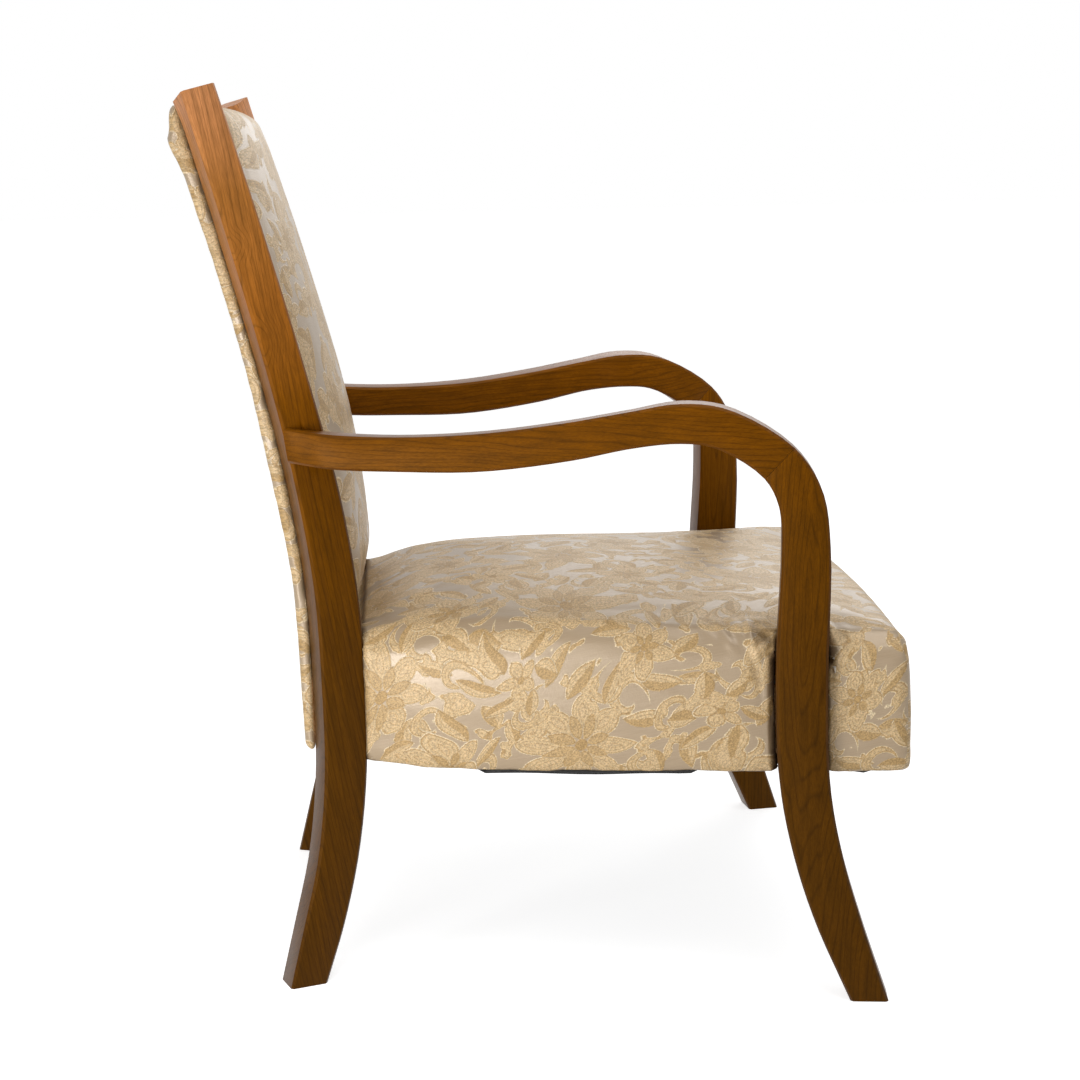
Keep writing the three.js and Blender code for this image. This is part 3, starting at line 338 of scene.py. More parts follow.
def make_brocade():
    """Woven silk-like brocade: a shining satin ground and a dull raised figure in gold yarn."""
    material, tree, shader = new_material("woven brocade")
    uv = node(tree, "UVMap", {}, uv_map="cloth")
    cloth = node(tree, "VectorMath", {0: uv, "Scale": 1 / MM}, operation="SCALE")
    slow, stitch = (node(tree, "TexNoise", {"Vector": cloth, "Scale": 1 / size, "Detail": detail},
                         output=1) for size, detail in ((WOBBLE_SIZE, 0), (STITCH, 1)))
    wobbled = node(tree, "VectorMath", {0: slow, 1: (WOBBLE, WOBBLE, 0), 2: cloth},
                   operation="MULTIPLY_ADD")
    frayed = node(tree, "VectorMath", {0: stitch, 1: (FRAY, FRAY, 0), 2: wobbled},
                  operation="MULTIPLY_ADD")
    motif = node(tree, "SeparateXYZ", {0: woven_drawing(tree, frayed)})
    dark = motif.node.outputs[1]
    cloud = node(tree, "TexNoise", {"Vector": frayed, "Scale": 1 / PATCH_SIZE, "Detail": 1.5})
    patch = node(tree, "Math", {0: cloud, 1: PATCH_SLOPE, 2: -PATCH_SLOPE * PATCH_LEVEL},
                 operation="MULTIPLY_ADD")
    drawn = node(tree, "Math", {0: motif, 1: patch}, operation="MAXIMUM")
    figure = node(tree, "MapRange", {0: drawn, 1: 0, 2: 0.5})
    depth = node(tree, "MapRange", {0: drawn, 1: 0, 2: CONTOURS})
    outline = node(tree, "ValToRGB", {0: depth}, stops=YARN_STOPS)
    yarn = node(tree, "Mix", {0: dark, 6: outline, 7: colour(YARN_DARK)}, output=2,
                data_type="RGBA")
    speck = node(tree, "SeparateXYZ", {0: stitch}, output=1)
    mottle = node(tree, "MapRange", {0: speck, 1: 0.32, 2: 0.68, 3: SPECKS[0], 4: SPECKS[1]})
    mottled = node(tree, "VectorMath", {0: yarn, "Scale": mottle}, operation="SCALE")
    threads = node(tree, "Mapping", {"Vector": cloth, "Scale": RIB})
    rib = node(tree, "TexNoise", {"Vector": threads, "Scale": 1, "Detail": 1})
    satin = node(tree, "ValToRGB", {0: rib}, stops=SATIN_STOPS)
    woven = node(tree, "Mix", {0: figure, 6: satin, 7: mottled}, output=2, data_type="RGBA")
    # painted shade, from the mesh's attribute, darkens the cloth and takes away its shine there
    painted_shade = node(tree, "Attribute", {}, output=2, attribute_name="painted_shade")
    unshaded = node(tree, "Math", {0: 1, 1: painted_shade}, operation="SUBTRACT")
    base = node(tree, "Mix", {0: painted_shade, 6: woven, 7: colour(PAINTED_SHADE_COLOUR)}, output=2, data_type="RGBA")
    rough = node(tree, "MapRange", {0: figure, 3: ROUGHNESS[0], 4: ROUGHNESS[1]})
    shine = node(tree, "MapRange", {0: figure, 3: METAL[0], 4: METAL[1]})
    metal = node(tree, "Math", {0: shine, 1: unshaded}, operation="MULTIPLY")
    lustre = node(tree, "MapRange", {0: figure, 3: LUSTRE[0], 4: LUSTRE[1]})
    gloss = node(tree, "Math", {0: unshaded, 1: lustre}, operation="MULTIPLY")
    raised = node(tree, "MapRange", {0: drawn, 1: 0, 2: YARN_EDGE})
    height = node(tree, "Math", {0: speck, 1: 0.6, 2: raised}, operation="MULTIPLY_ADD")
    relief = node(tree, "Bump", {"Height": height, "Distance": 0.3 * MM, "Strength": 0.7})
    fill(tree, shader, {"Base Color": base, "Roughness": rough, "Metallic": metal, "Normal": relief,
                        "Specular IOR Level": gloss, "Sheen Weight": 0.05, "Sheen Roughness": 0.4})
    return material


brocade = make_brocade()
print("brocade:", len(brocade.node_tree.nodes), "nodes")

# %% [markdown]
# The show wood is a close-grained brown hardwood under satin varnish. It is cut from straight
# planks, so the grain runs straight while the leg curves away from it. A solid texture does that
# by itself: growth rings round the axis of the tree, streaks and fine dark pores drawn out along
# the plank. Where the axis lies just under a face and leans, the rings make nested arches there.
# A knot pushes the rings aside. Painted light makes the colour darker near the floor and paler
# towards the top of the posts.

# %% Wood
RING_WIDTH = 4.2  # mm
PORE_LENGTH = 24  # mm
PORE_WIDTH = 0.6
STREAK_LENGTH = 190  # mm
STREAK_WIDTH = 4.5
KNOT_RINGS = 2.2  # how many rings a knot pushes aside
WANDER = (26, 26, 0)  # mm, how far the rings stray from true circles
WANDER_SCALE = 0.03  # per mm
ALONG_GRAIN = 0.06  # how much of that straying there is along the plank
LATE_WOOD = 0.17  # of a ring's width, to each side of its dark line
RING_TONES = (0.68, 1.03)  # of that line and of the rest of the ring, to 1 for the plain wood
STREAK_TONES = (0.82, 1.18)
PORE_TONES = (0.78, 1.09)
VARNISH_ROUGH = (0.4, 0.3)  # in the pores and between them
# the wood's brown with painted light: darker near the floor, paler at the top of the posts
BROWN_AND_PAINTED_LIGHT_STOPS = [(0.28, "#482a02"), (0.46, "#5c3501"), (0.58, "#6b3d02"), (0.68, "#8f561c"),
                 (0.78, "#9b632c"), (0.87, "#b87c4e")]


def make_show_wood(name, turn, pith, knots, pale):
    """Varnished brown hardwood, its grain along Z after turn, round the tree's axis at pith."""
    material, tree, shader = new_material(name)
    place = node(tree, "TexCoord", {}, output=3)
    grain = node(tree, "Mapping", {"Vector": place, "Location": pith, "Rotation": turn,
                                   "Scale": (1 / MM,) * 3}, vector_type="POINT")
    stretched = node(tree, "VectorMath", {0: grain, 1: (1, 1, ALONG_GRAIN)}, operation="MULTIPLY")
    drift = node(tree, "TexNoise", {"Vector": stretched, "Scale": WANDER_SCALE, "Detail": 2},
                 output=1)
    wandering = node(tree, "VectorMath", {0: drift, 1: WANDER, 2: stretched},
                     operation="MULTIPLY_ADD")
    flat = node(tree, "VectorMath", {0: wandering, 1: (1, 1, 0)}, operation="MULTIPLY")
    away = node(tree, "VectorMath", {0: flat}, output=1, operation="LENGTH")
    ring = node(tree, "Math", {0: away, 1: 1 / RING_WIDTH}, operation="MULTIPLY")
    for centre, reach in knots:
        near = node(tree, "VectorMath", {0: place, 1: centre}, output=1, operation="DISTANCE")
        push = node(tree, "MapRange", {0: near, 1: 0, 2: reach, 3: KNOT_RINGS, 4: 0},
                    interpolation_type="SMOOTHSTEP")
        ring = node(tree, "Math", {0: ring, 1: push}, operation="ADD")
    year = node(tree, "Math", {0: ring, 1: 0.5}, operation="PINGPONG")
    figure = node(tree, "MapRange", {0: year, 1: 0, 2: LATE_WOOD,
                                     3: RING_TONES[0], 4: RING_TONES[1]})
    streak = node(tree, "VectorMath", {0: grain, 1: (1 / STREAK_WIDTH, 1 / STREAK_WIDTH,
                                                     1 / STREAK_LENGTH)}, operation="MULTIPLY")
    band = node(tree, "TexNoise", {"Vector": streak, "Scale": 1, "Detail": 1})
    # pale is painted light, which brightens the whole piece's colour
    banded = node(tree, "MapRange", {0: band, 1: 0.3, 2: 0.7,
                                     3: STREAK_TONES[0] * pale, 4: STREAK_TONES[1] * pale})
    fibre_place = node(tree, "VectorMath", {0: grain, 1: (1 / PORE_WIDTH, 1 / PORE_WIDTH,
                                                          1 / PORE_LENGTH)}, operation="MULTIPLY")
    fibre = node(tree, "TexNoise", {"Vector": fibre_place, "Scale": 1, "Detail": 2})
    pore = node(tree, "MapRange", {0: fibre, 1: 0.34, 2: 0.62,
                                   3: PORE_TONES[0], 4: PORE_TONES[1]})
    marks = node(tree, "Math", {0: figure, 1: banded}, operation="MULTIPLY")
    grained = node(tree, "Math", {0: marks, 1: pore}, operation="MULTIPLY")
    # painted light: the colour is chosen by height, paler towards the top
    height = node(tree, "SeparateXYZ", {0: place}, output=2)
    varnish = node(tree, "ValToRGB", {0: height}, stops=BROWN_AND_PAINTED_LIGHT_STOPS)
    final = node(tree, "VectorMath", {0: varnish, "Scale": grained}, operation="SCALE")
    rough = node(tree, "MapRange", {0: fibre, 1: 0.3, 2: 0.7,
                                    3: VARNISH_ROUGH[0], 4: VARNISH_ROUGH[1]})
    relief = node(tree, "Bump", {"Height": pore, "Distance": 0.06 * MM, "Strength": 0.5})
    fill(tree, shader, {"Base Color": final, "Roughness": rough, "Normal": relief,
                        "Specular IOR Level": 0.18, "Specular Tint": colour("#ffbe7c")})
    return material


print("wood ready")

# %% [markdown]
# An operator acts on all that is selected, and loading leaves the frame selected. So everything
# is deselected first. A copy of a frame part is loose triangles, so it is merged before use.


# %% Helpers for pieces
def select_only(piece):
    bpy.ops.object.select_all(action="DESELECT")
    piece.select_set(True)
    bpy.context.view_layer.objects.active = piece


def select_faces(piece, chosen):
    """Goes to edit mode with the chosen faces selected. chosen takes a polygon."""
    select_only(piece)
    bpy.ops.object.mode_set(mode="EDIT")
    bpy.ops.mesh.select_mode(type="FACE")
    bpy.ops.mesh.select_all(action="DESELECT")
    bpy.ops.object.mode_set(mode="OBJECT")
    for face in piece.data.polygons:
        face.select = bool(chosen(face))
    bpy.ops.object.mode_set(mode="EDIT")


def edit_all(piece, operator, **settings):
    """Runs an operator of edit mode on the whole piece."""
    select_only(piece)
    bpy.ops.object.mode_set(mode="EDIT")
    bpy.ops.mesh.select_all(action="SELECT")
    operator(**settings)
    bpy.ops.object.mode_set(mode="OBJECT")


def copy_of(node_name, name):
    """A merged copy of a frame part, as a new piece."""
    piece = bpy.data.objects.new(name, nodes[node_name].data.copy())
    bpy.context.collection.objects.link(piece)
    piece.data.materials.clear()
    select_only(piece)
    bpy.ops.mesh.customdata_custom_splitnormals_clear()
    edit_all(piece, bpy.ops.mesh.remove_doubles, threshold=0.01 * MM)
    return piece


def finish_piece(piece, material, slot, *replaced):
    piece.data.materials.clear()
    piece.data.materials.append(material)
    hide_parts(*replaced)
    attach(piece, "root")


def vectors_of(items, name):
    """One vector of each item, such as each point's place, as rows of an array."""
    rows = np.empty(len(items) * 3, np.float32)
    items.foreach_get(name, rows)
    return rows.reshape(-1, 3).astype(float)


def points_of(piece):
    return vectors_of(piece.data.vertices, "co")


def set_points(piece, points):
    piece.data.vertices.foreach_set("co", points.astype(np.float32).ravel())
    piece.data.update()


def normals_of(piece):
    return vectors_of(piece.data.vertex_normals, "vector")


print("piece helpers ready")

# %% [markdown]
# The arms and legs have the right shape already, with an eased edge cut flat. A joiner would run
# sandpaper along it, so a small Bevel rounds what is left. The flat sides are first made whole
# faces, because a bevel runs cleanly along whole faces and not across loose triangles.

# %% Arms and legs
ROUNDING = 1.1 * MM
SIDES = ("left", "right")
# grain turned along the arm, the front leg and the post, where the tree's axis lies, in mm, and
# its knots: a place in metres and how far it pushes the rings aside
WOODS = {
    "armrest": ((math.radians(90), 0, 0), (60, 20, 30), []),
    "front_leg": ((0, math.radians(5), 0), (263, 226, 0), []),
    "rear_leg": ((math.radians(12), 0, 0), (-70, 60, 0),
                 [((-0.225, 0.260, 0.642), 0.03), ((-0.233, 0.285, 0.731), 0.02)]),
}
LEFT_SHIFT = -586  # mm, to the other tree that the left side is cut from
SIDE_PAINTED_LIGHT = {"left": 1.25, "right": 1}  # painted light: the left side, far from the camera, is painted paler to stand in for light


def make_wood_piece(kind, side):
    cad = f"{kind}_{side}"
    piece = copy_of(cad, f"wood_{cad}")
    edit_all(piece, bpy.ops.mesh.dissolve_limited, angle_limit=math.radians(0.4))
    bevel = piece.modifiers.new("rounding", "BEVEL")
    bevel.width = ROUNDING
    bevel.segments = 2
    bevel.limit_method = "ANGLE"
    bevel.angle_limit = math.radians(30)
    bpy.ops.object.modifier_apply(modifier="rounding")
    bpy.ops.object.shade_smooth_by_angle(angle=math.radians(35))
    turn, pith, knots = WOODS[kind]
    axis = (pith[0] + (LEFT_SHIFT if side == "left" else 0), *pith[1:])
    wood = make_show_wood(f"varnished hardwood {cad}", turn, axis, knots, SIDE_PAINTED_LIGHT[side])
    finish_piece(piece, wood, "show_wood", cad)
    return piece


for kind in WOODS:
    for side in SIDES:
        made = make_wood_piece(kind, side)
        print(made.name, len(made.data.polygons), "faces")

# %% [markdown]
# Upholstery is cloth pulled over stuffing, so it is made the same way here. A solid is remeshed
# into even small faces, which makes it a skin that can move freely. Then air pressure from inside
# swells it a little as a Cloth simulation, while the places where it is tacked down are held. How
# far a point may move is capped, so that the pad stays in its frame, and none may sink in, because
# the stuffing lies right behind.

# %% Padding
SIMULATED_FRAMES = 20
PRESSURE = 4
SWELL = 3 * MM  # the most that a pad may swell
CLEARANCE = 0.3 * MM  # from cloth to wood
# how far from the legs and posts painted shade reaches, and how dark it is right beside them
SHADE_REACH = 3 * MM
SHADE_BESIDE = 0.8  # how much painted shade the cloth gets right beside the wood
NEARBY = 20 * MM  # a point further than this from a neighbour's surface is left alone
POSTS = [f"rear_leg_{side}" for side in SIDES]
LIMBS = [f"front_leg_{side}" for side in SIDES] + POSTS


def remesh(piece, voxel, smoothing=2):
    select_only(piece)
    piece.data.remesh_voxel_size = voxel
    bpy.ops.object.voxel_remesh()
    edit_all(piece, bpy.ops.mesh.vertices_smooth, factor=0.5, repeat=smoothing)


def even_out(piece, moves, rounds=6):
    """Spreads the moves of a piece's points over their neighbours, so that no step remains."""
    edges = np.array([tuple(edge.vertices) for edge in piece.data.edges])
    neighbours = np.bincount(edges.ravel(), minlength=len(moves))[:, None]
    for _ in range(rounds):
        total = np.zeros_like(moves)
        np.add.at(total, edges[:, 0], moves[edges[:, 1]])
        np.add.at(total, edges[:, 1], moves[edges[:, 0]])
        moves = total / neighbours
    return moves


def inflate(piece, held):
    """Draws a piece in a little and swells it by air pressure, but for the points that are held."""
    normals = normals_of(piece)
    before = points_of(piece) - even_out(piece, normals * (SWELL * ~held)[:, None])
    set_points(piece, before)
    group = piece.vertex_groups.new(name="tacked")
    group.add([int(i) for i in np.flatnonzero(held)], 1, "REPLACE")
    cloth = piece.modifiers.new("cloth", "CLOTH")
    cloth.settings.use_pressure = True
    cloth.settings.uniform_pressure_force = PRESSURE
    cloth.settings.vertex_group_mass = "tacked"
    cloth.settings.effector_weights.gravity = 0
    cloth.point_cache.frame_start = 1
    cloth.point_cache.frame_end = SIMULATED_FRAMES
    for number in range(1, SIMULATED_FRAMES + 1):
        bpy.context.scene.frame_set(number)
    select_only(piece)
    bpy.ops.object.modifier_apply(modifier="cloth")
    bpy.context.scene.frame_set(1)
    moved = points_of(piece) - before
    moved -= np.minimum(0, np.sum(moved * normals, axis=1))[:, None] * normals
    far = np.linalg.norm(moved, axis=1, keepdims=True)
    moved *= np.minimum(1, SWELL / np.maximum(far, 1e-9))
    set_points(piece, before + even_out(piece, moved))
    piece.vertex_groups.clear()
    print(piece.name, "swelled by up to", round(float(far.max()) / MM, 1), "mm")


def subdivide(piece):
    select_only(piece)
    piece.modifiers.new("finer", "SUBSURF").levels = 1
    piece.modifiers["finer"].render_levels = 1
    bpy.ops.object.modifier_apply(modifier="finer")


def tree_of(*pieces):
    """The surfaces of pieces, to measure distances from."""
    corners, faces = [], []
    for piece in pieces:
        start = len(corners)
        corners.extend(v.co.copy() for v in piece.data.vertices)
        faces.extend([start + i for i in f.vertices] for f in piece.data.polygons)
    return BVHTree.FromPolygons(corners, faces)


def keep_clear(piece, gap, *names):
    """Moves points that lie in a neighbour, or too close to it, back to its surface."""
    surface = tree_of(*(nodes[name] for name in names))
    points = points_of(piece)
    count = 0
    for i, p in enumerate(points):
        near, normal, _, away = surface.find_nearest(Vector(p), NEARBY)
        if near is None:
            continue
        height = (Vector(p) - near).dot(normal)
        if height < 0 or (height < gap and away < gap):
            points[i] = near + normal * gap
            count += 1
    set_points(piece, points)
    print(piece.name, "moved", count, "points clear of", ", ".join(names))


def give_uv(piece, values):
    """Stores a place on the cloth, in metres, for each corner of each face."""
    layer = piece.data.uv_layers.new(name="cloth")
    layer.data.foreach_set("uv", values.astype(np.float32).ravel())


def give_painted_shade(piece, painted_shade):
    """Stores how much painted shade each point gets: by what is given, and more beside the legs and
    posts.
    """
    surface = tree_of(*(nodes[name] for name in LIMBS))
    away = [surface.find_nearest(Vector(p), SHADE_REACH)[3] for p in points_of(piece)]
    beside = np.array([0 if far is None else 1 - far / SHADE_REACH for far in away])
    layer = piece.data.attributes.new("painted_shade", "FLOAT", "POINT")
    layer.data.foreach_set("value", np.clip(painted_shade + SHADE_BESIDE * beside, 0, 1).astype(np.float32))


def corner_arrays(piece):
    """For each face corner, its point's number and its face's number."""
    loops = piece.data.loops
    points = np.empty(len(loops), np.int64)
    loops.foreach_get("vertex_index", points)
    totals = np.empty(len(piece.data.polygons), np.int64)
    piece.data.polygons.foreach_get("loop_total", totals)
    return points, np.repeat(np.arange(len(totals)), totals)


def smooth_step(low, high, values):
    share = np.clip((values - low) / (high - low), 0, 1)
    return share * share * (3 - 2 * share)


print("padding helpers ready")

# %% [markdown]
# The seat's cover is one cloth, drawn over the stuffing and down the sides without a seam, and
# tacked under the rails. Its shape starts from the frame's stuffing. A tapered block fills the
# hollow where the springs are, and remeshing joins the two into one skin. Later the underside is
# opened again and the skin gets the cloth's thickness, which leaves the springs and rails room.

# %% Sizes of the seat
SEAT_BOW = 12 * MM  # how far the middle of the front stands ahead of the front corners
SEAT_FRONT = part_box("seat_cover")[0][1] + SEAT_BOW  # the front corners
SEAT_REAR = 221 * MM
FRONT_HALF = 316 * MM
REAR_HALF = 198 * MM
EDGE_RADIUS = 40 * MM
FRONT_RUN = 15 * MM  # how far back the edge rounds over along the front
SHOULDER = 332 * MM  # where the side starts to turn over into the top
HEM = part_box("seat_cover")[0][2]
TUCK = 181 * MM  # where the back comes down on the seat
CLOTH = 1.6 * MM
SKIN = 2.3 * MM  # from the stuffing to the outside of the cloth


def side_at(y):
    """Half the seat's width at a distance from front to back."""
    return FRONT_HALF + (REAR_HALF - FRONT_HALF) * (y - SEAT_FRONT) / (SEAT_REAR - SEAT_FRONT)


def front_at(x):
    return SEAT_FRONT - SEAT_BOW * np.maximum(0, 1 - (x / FRONT_HALF) ** 2)


print("seat from", round(SEAT_FRONT, 3), "to", round(SEAT_REAR, 3), "m")

# %% The seat's skin
SEAT_VOXEL = 5 * MM
BLOCK_INSET = 34 * MM
BLOCK_TOP = 346 * MM
BLOCK_REAR = 202 * MM
BLOCK_REAR_TOP = 322 * MM


def add_block():
    """A tapered block for the hollow of the seat."""
    length = BLOCK_REAR - SEAT_FRONT - BLOCK_INSET
    height = BLOCK_TOP - HEM
    middle = (0, BLOCK_REAR - length / 2, HEM + height / 2)
    bpy.ops.object.select_all(action="DESELECT")
    bpy.ops.mesh.primitive_cube_add(size=1, location=middle)
    block = bpy.context.object
    block.scale = (2 * (FRONT_HALF - BLOCK_INSET), length, height)
    bpy.ops.object.transform_apply(location=True, rotation=True, scale=True)
    rear_half = side_at(BLOCK_REAR) - BLOCK_INSET
    select_faces(block, lambda face: face.normal.y > 0.5)
    bpy.ops.transform.resize(value=(rear_half / (FRONT_HALF - BLOCK_INSET), 1, 1),
                             center_override=(0, BLOCK_REAR, HEM))
    bpy.ops.transform.resize(value=(1, 1, (BLOCK_REAR_TOP - HEM) / height),
                             center_override=(0, BLOCK_REAR, HEM))
    bpy.ops.object.mode_set(mode="OBJECT")
    return block


def make_seat_skin():
    seat = copy_of("seat_padding", "seat_cover_cloth")
    block = add_block()
    select_only(seat)
    block.select_set(True)
    bpy.ops.object.join()
    remesh(seat, SEAT_VOXEL, 1)
    set_points(seat, points_of(seat) + normals_of(seat) * SKIN)
    return seat


seat = make_seat_skin()
at = points_of(seat)
tacked = (at[:, 2] < HEM + 10 * MM) | (at[:, 1] > TUCK - 5 * MM)
inflate(seat, tacked)
subdivide(seat)
print("seat:", len(seat.data.polygons), "faces")

# %% [markdown]
# The cloth tells how it was drawn tight. Beside a front corner the spare cloth is folded into a
# pleat. Behind the front leg it was cut and turned in, which leaves a slot with a gathered knot
# above it, and short puckers that point at the cut. Its hem is pulled down by hand between the
# tacks and so runs in slow waves. Each of these is a small, smooth move of the skin's points.

# %% Pleats, puckers and hem
PLEAT_INSET = 22 * MM  # from the corner, round on the front
PLEAT_DEPTH = 3 * MM
PLEAT_WIDTH = 4 * MM
PLEAT_LIP = 0.5  # how high the lip beside the crease stands, to 1 for the crease's depth
HUG_REACH = 11 * MM
HUG_FACING = 0.4  # how squarely the skin has to face a leg to be drawn up to it
SLOT_FRONT, SLOT_REAR = -0.24, -0.18  # m, the slot behind the front leg lies between them
SLOT_TOP = 337 * MM
SLOT_WIDTH = 7 * MM
SLOT_DEPTH = 7 * MM
# ridges and dents of the sides in mm: distance to the front or back, height, half length, half
# width, turn from level in degrees, and how far they rise
PUCKERS = [
    (-190, 349, 17, 4, 82, 4.6), (-196, 366, 11, 4, 10, 3.6), (-204, 352, 9, 6, 60, -4),
    (-200, 341, 9, 2.5, -50, 3), (-202, 358, 7, 2.5, 40, 2.4), (-180, 354, 16, 5, 62, 2.6),
    (-165, 352, 15, 5, 55, 2.2), (-149, 356, 14, 6, 45, 1.4), (-191, 322, 24, 4, 80, -1.8),
    (-265, 352, 11, 4, 75, 4), (-261, 334, 14, 4, 85, -3.4), (-273, 340, 14, 4, 65, 2.2),
    (-282, 352, 12, 5, 50, 1.3), (-336, 349, 10, 10, 0, 3.5), (-331, 353, 7, 2, 60, -2.4),
]
ON_SIDE = (-50 * MM, -30 * MM)  # from inside a side to its face, where the puckers set in
# the hem's waves: their share, how many radians they run in a metre, and where they start
HEM_WAVES = [(0.6, 54, 0), (0.4, 97, 1)]
WAVE_HEIGHT = 0.7 * MM
WAVE_LEVELS = (HEM + 4 * MM, HEM + 44 * MM)  # where the waves begin to fade and end
WAVE_BORDER = (-60 * MM, -20 * MM)  # from inside a side, where the hem begins to hang down
# how far the hem hangs down, at places from front to back, both in mm
HEM_SAGS = [(-340, 0), (-280, 1.5), (-196, 3.5), (-139, 4.5), (-44, 6.5), (72, 8.5), (125, 6.5),
            (170, 2.5), (190, 0)]


def pleat(points):
    """A fold on the front beside each corner, from the shoulder down."""
    beside = np.abs(points[:, 0]) - (FRONT_HALF - PLEAT_INSET)
    low = 1 - smooth_step(SHOULDER - 20 * MM, SHOULDER + 20 * MM, points[:, 2])
    near = smooth_step(-14 * MM, -4 * MM, front_at(points[:, 0]) - points[:, 1])
    crease = np.exp(-(beside / PLEAT_WIDTH) ** 2)
    lip = np.exp(-((beside - 2.2 * PLEAT_WIDTH) / (1.6 * PLEAT_WIDTH)) ** 2)
    push = (lip * PLEAT_LIP - crease) * low * near * PLEAT_DEPTH
    return points - np.outer(push, (0, 1, 0))


def pucker_rise(points):
    """Gathers round the places where the legs come through the sides."""
    on_side = smooth_step(*ON_SIDE, np.abs(points[:, 0]) - side_at(points[:, 1]))
    rise = np.zeros(len(points))
    for y, z, length, width, turn, height in PUCKERS:
        along, up = points[:, 1] - y * MM, points[:, 2] - z * MM
        cosine, sine = math.cos(math.radians(turn)), math.sin(math.radians(turn))
        lengthwise, crosswise = along * cosine + up * sine, up * cosine - along * sine
        rise += height * MM * np.exp(-(lengthwise / (length * MM)) ** 2
                                     - (crosswise / (width * MM)) ** 2)
    return rise * on_side


def hug_limbs(points, normals):
    """Draws the skin up to the legs that it faces, and opens the slot behind each front leg."""
    surface = tree_of(*(nodes[name] for name in LIMBS))
    for i, p in enumerate(points):
        near, out, _, away = surface.find_nearest(Vector(p), HUG_REACH)
        if near is None:
            continue
        if (near - Vector(p)).normalized().dot(Vector(normals[i])) > HUG_FACING:
            points[i] = near + out * CLEARANCE
        if SLOT_FRONT < p[1] < SLOT_REAR and p[2] < SLOT_TOP and away < SLOT_WIDTH:
            points[i][0] -= math.copysign(SLOT_DEPTH * (1 - away / SLOT_WIDTH), p[0])
    return points


def hem_sag(y):
    """How far the hem hangs down at a distance from front to back."""
    places, sags = np.array(HEM_SAGS).T * MM
    return np.interp(y, places, sags)


def waving_hem(points):
    """Lets the hem hang down between the tacks, in slow waves that fade upwards."""
    along = points[:, 1] + 0.7 * points[:, 0]
    wave = sum(share * np.sin(along * pace + start) for share, pace, start in HEM_WAVES)
    low = 1 - smooth_step(*WAVE_LEVELS, points[:, 2])
    edge = smooth_step(*WAVE_BORDER, np.abs(points[:, 0]) - side_at(points[:, 1]))
    drop = hem_sag(points[:, 1]) * edge - wave * WAVE_HEIGHT
    return points - np.outer(drop * low, (0, 0, 1))


set_points(seat, waving_hem(pleat(points_of(seat))))
set_points(seat, hug_limbs(points_of(seat), normals_of(seat)))
rise = pucker_rise(points_of(seat))
set_points(seat, points_of(seat) + normals_of(seat) * rise[:, None])
keep_clear(seat, CLEARANCE, *LIMBS)

# %% Painted shade in the hollows
SUNK = (4 * MM, 7 * MM)  # how far in under a side the skin lies in a hollow
BEHIND_FRONT = (18 * MM, 24 * MM)  # and how far from the front
SHADE_LEVELS = (SLOT_TOP - 9 * MM, SLOT_TOP - 3 * MM)  # where the painted shade begins to fade and ends
DEEP_DENT = 6 * MM  # a dent that would be fully in painted shade


def hollow_share(points):
    """How much painted shade a point gets: 1 where the skin has gone in under the sides, at the
    legs, and in the slots.
    """
    sunk = side_at(points[:, 1]) - np.abs(points[:, 0])
    behind_front = points[:, 1] - front_at(points[:, 0])
    low = 1 - smooth_step(*SHADE_LEVELS, points[:, 2])
    return smooth_step(*SUNK, sunk) * smooth_step(*BEHIND_FRONT, behind_front) * low


# painted shade in the hollows and in the dents of the puckers
give_painted_shade(seat, hollow_share(points_of(seat)) + np.maximum(0, -rise / DEEP_DENT))
print("soil given to", len(rise), "points")

# %% The open underside
HEM_BORDER = 14 * MM  # what is turned in under the rails and tacked there
UNDERSIDE_HEIGHT = 6 * MM  # above the hem, the highest that the underside reaches
FACES_DOWN = -0.8  # or less, the upward part of such a face's normal


def open_underside(piece):
    """Takes the underside away and gives the rest the thickness of the cloth."""
    select_faces(piece, lambda f: f.normal.z < FACES_DOWN and f.center.z < HEM + UNDERSIDE_HEIGHT
                 and abs(f.center.x) < side_at(f.center.y) - HEM_BORDER
                 and f.center.y > front_at(f.center.x) + HEM_BORDER)
    bpy.ops.mesh.delete(type="FACE")
    bpy.ops.object.mode_set(mode="OBJECT")
    wall = piece.modifiers.new("cloth", "SOLIDIFY")
    wall.thickness = CLOTH
    wall.offset = -1
    bpy.ops.object.modifier_apply(modifier="cloth")


seat_skin = tree_of(seat)
open_underside(seat)
print("seat cover:", len(seat.data.polygons), "faces")

# %% [markdown]
# The drawing follows the cloth, so each corner of each face needs its place on the flat cloth. On
# top that is simply how far back and how far across it lies. Over a rounded edge the cloth keeps
# its length, so the distance is measured along the arc and then straight down. A face belongs to
# the front or to a side, whichever edge it is further over, and the two meet at the pleat.


# %% The seat's place on the cloth
def over_edge(beyond, z, run):
    """How far the cloth has run past the start of the rounding, by its place across and up."""
    up = z - SHOULDER
    turn = np.arctan2(np.maximum(beyond, 0) * EDGE_RADIUS / run, np.maximum(up, 1e-6))
    length = math.hypot(run, EDGE_RADIUS) / math.sqrt(2)
    arc = length * np.minimum(turn, math.pi / 2)
    return np.where(up > 0, arc, length * math.pi / 2 - up)


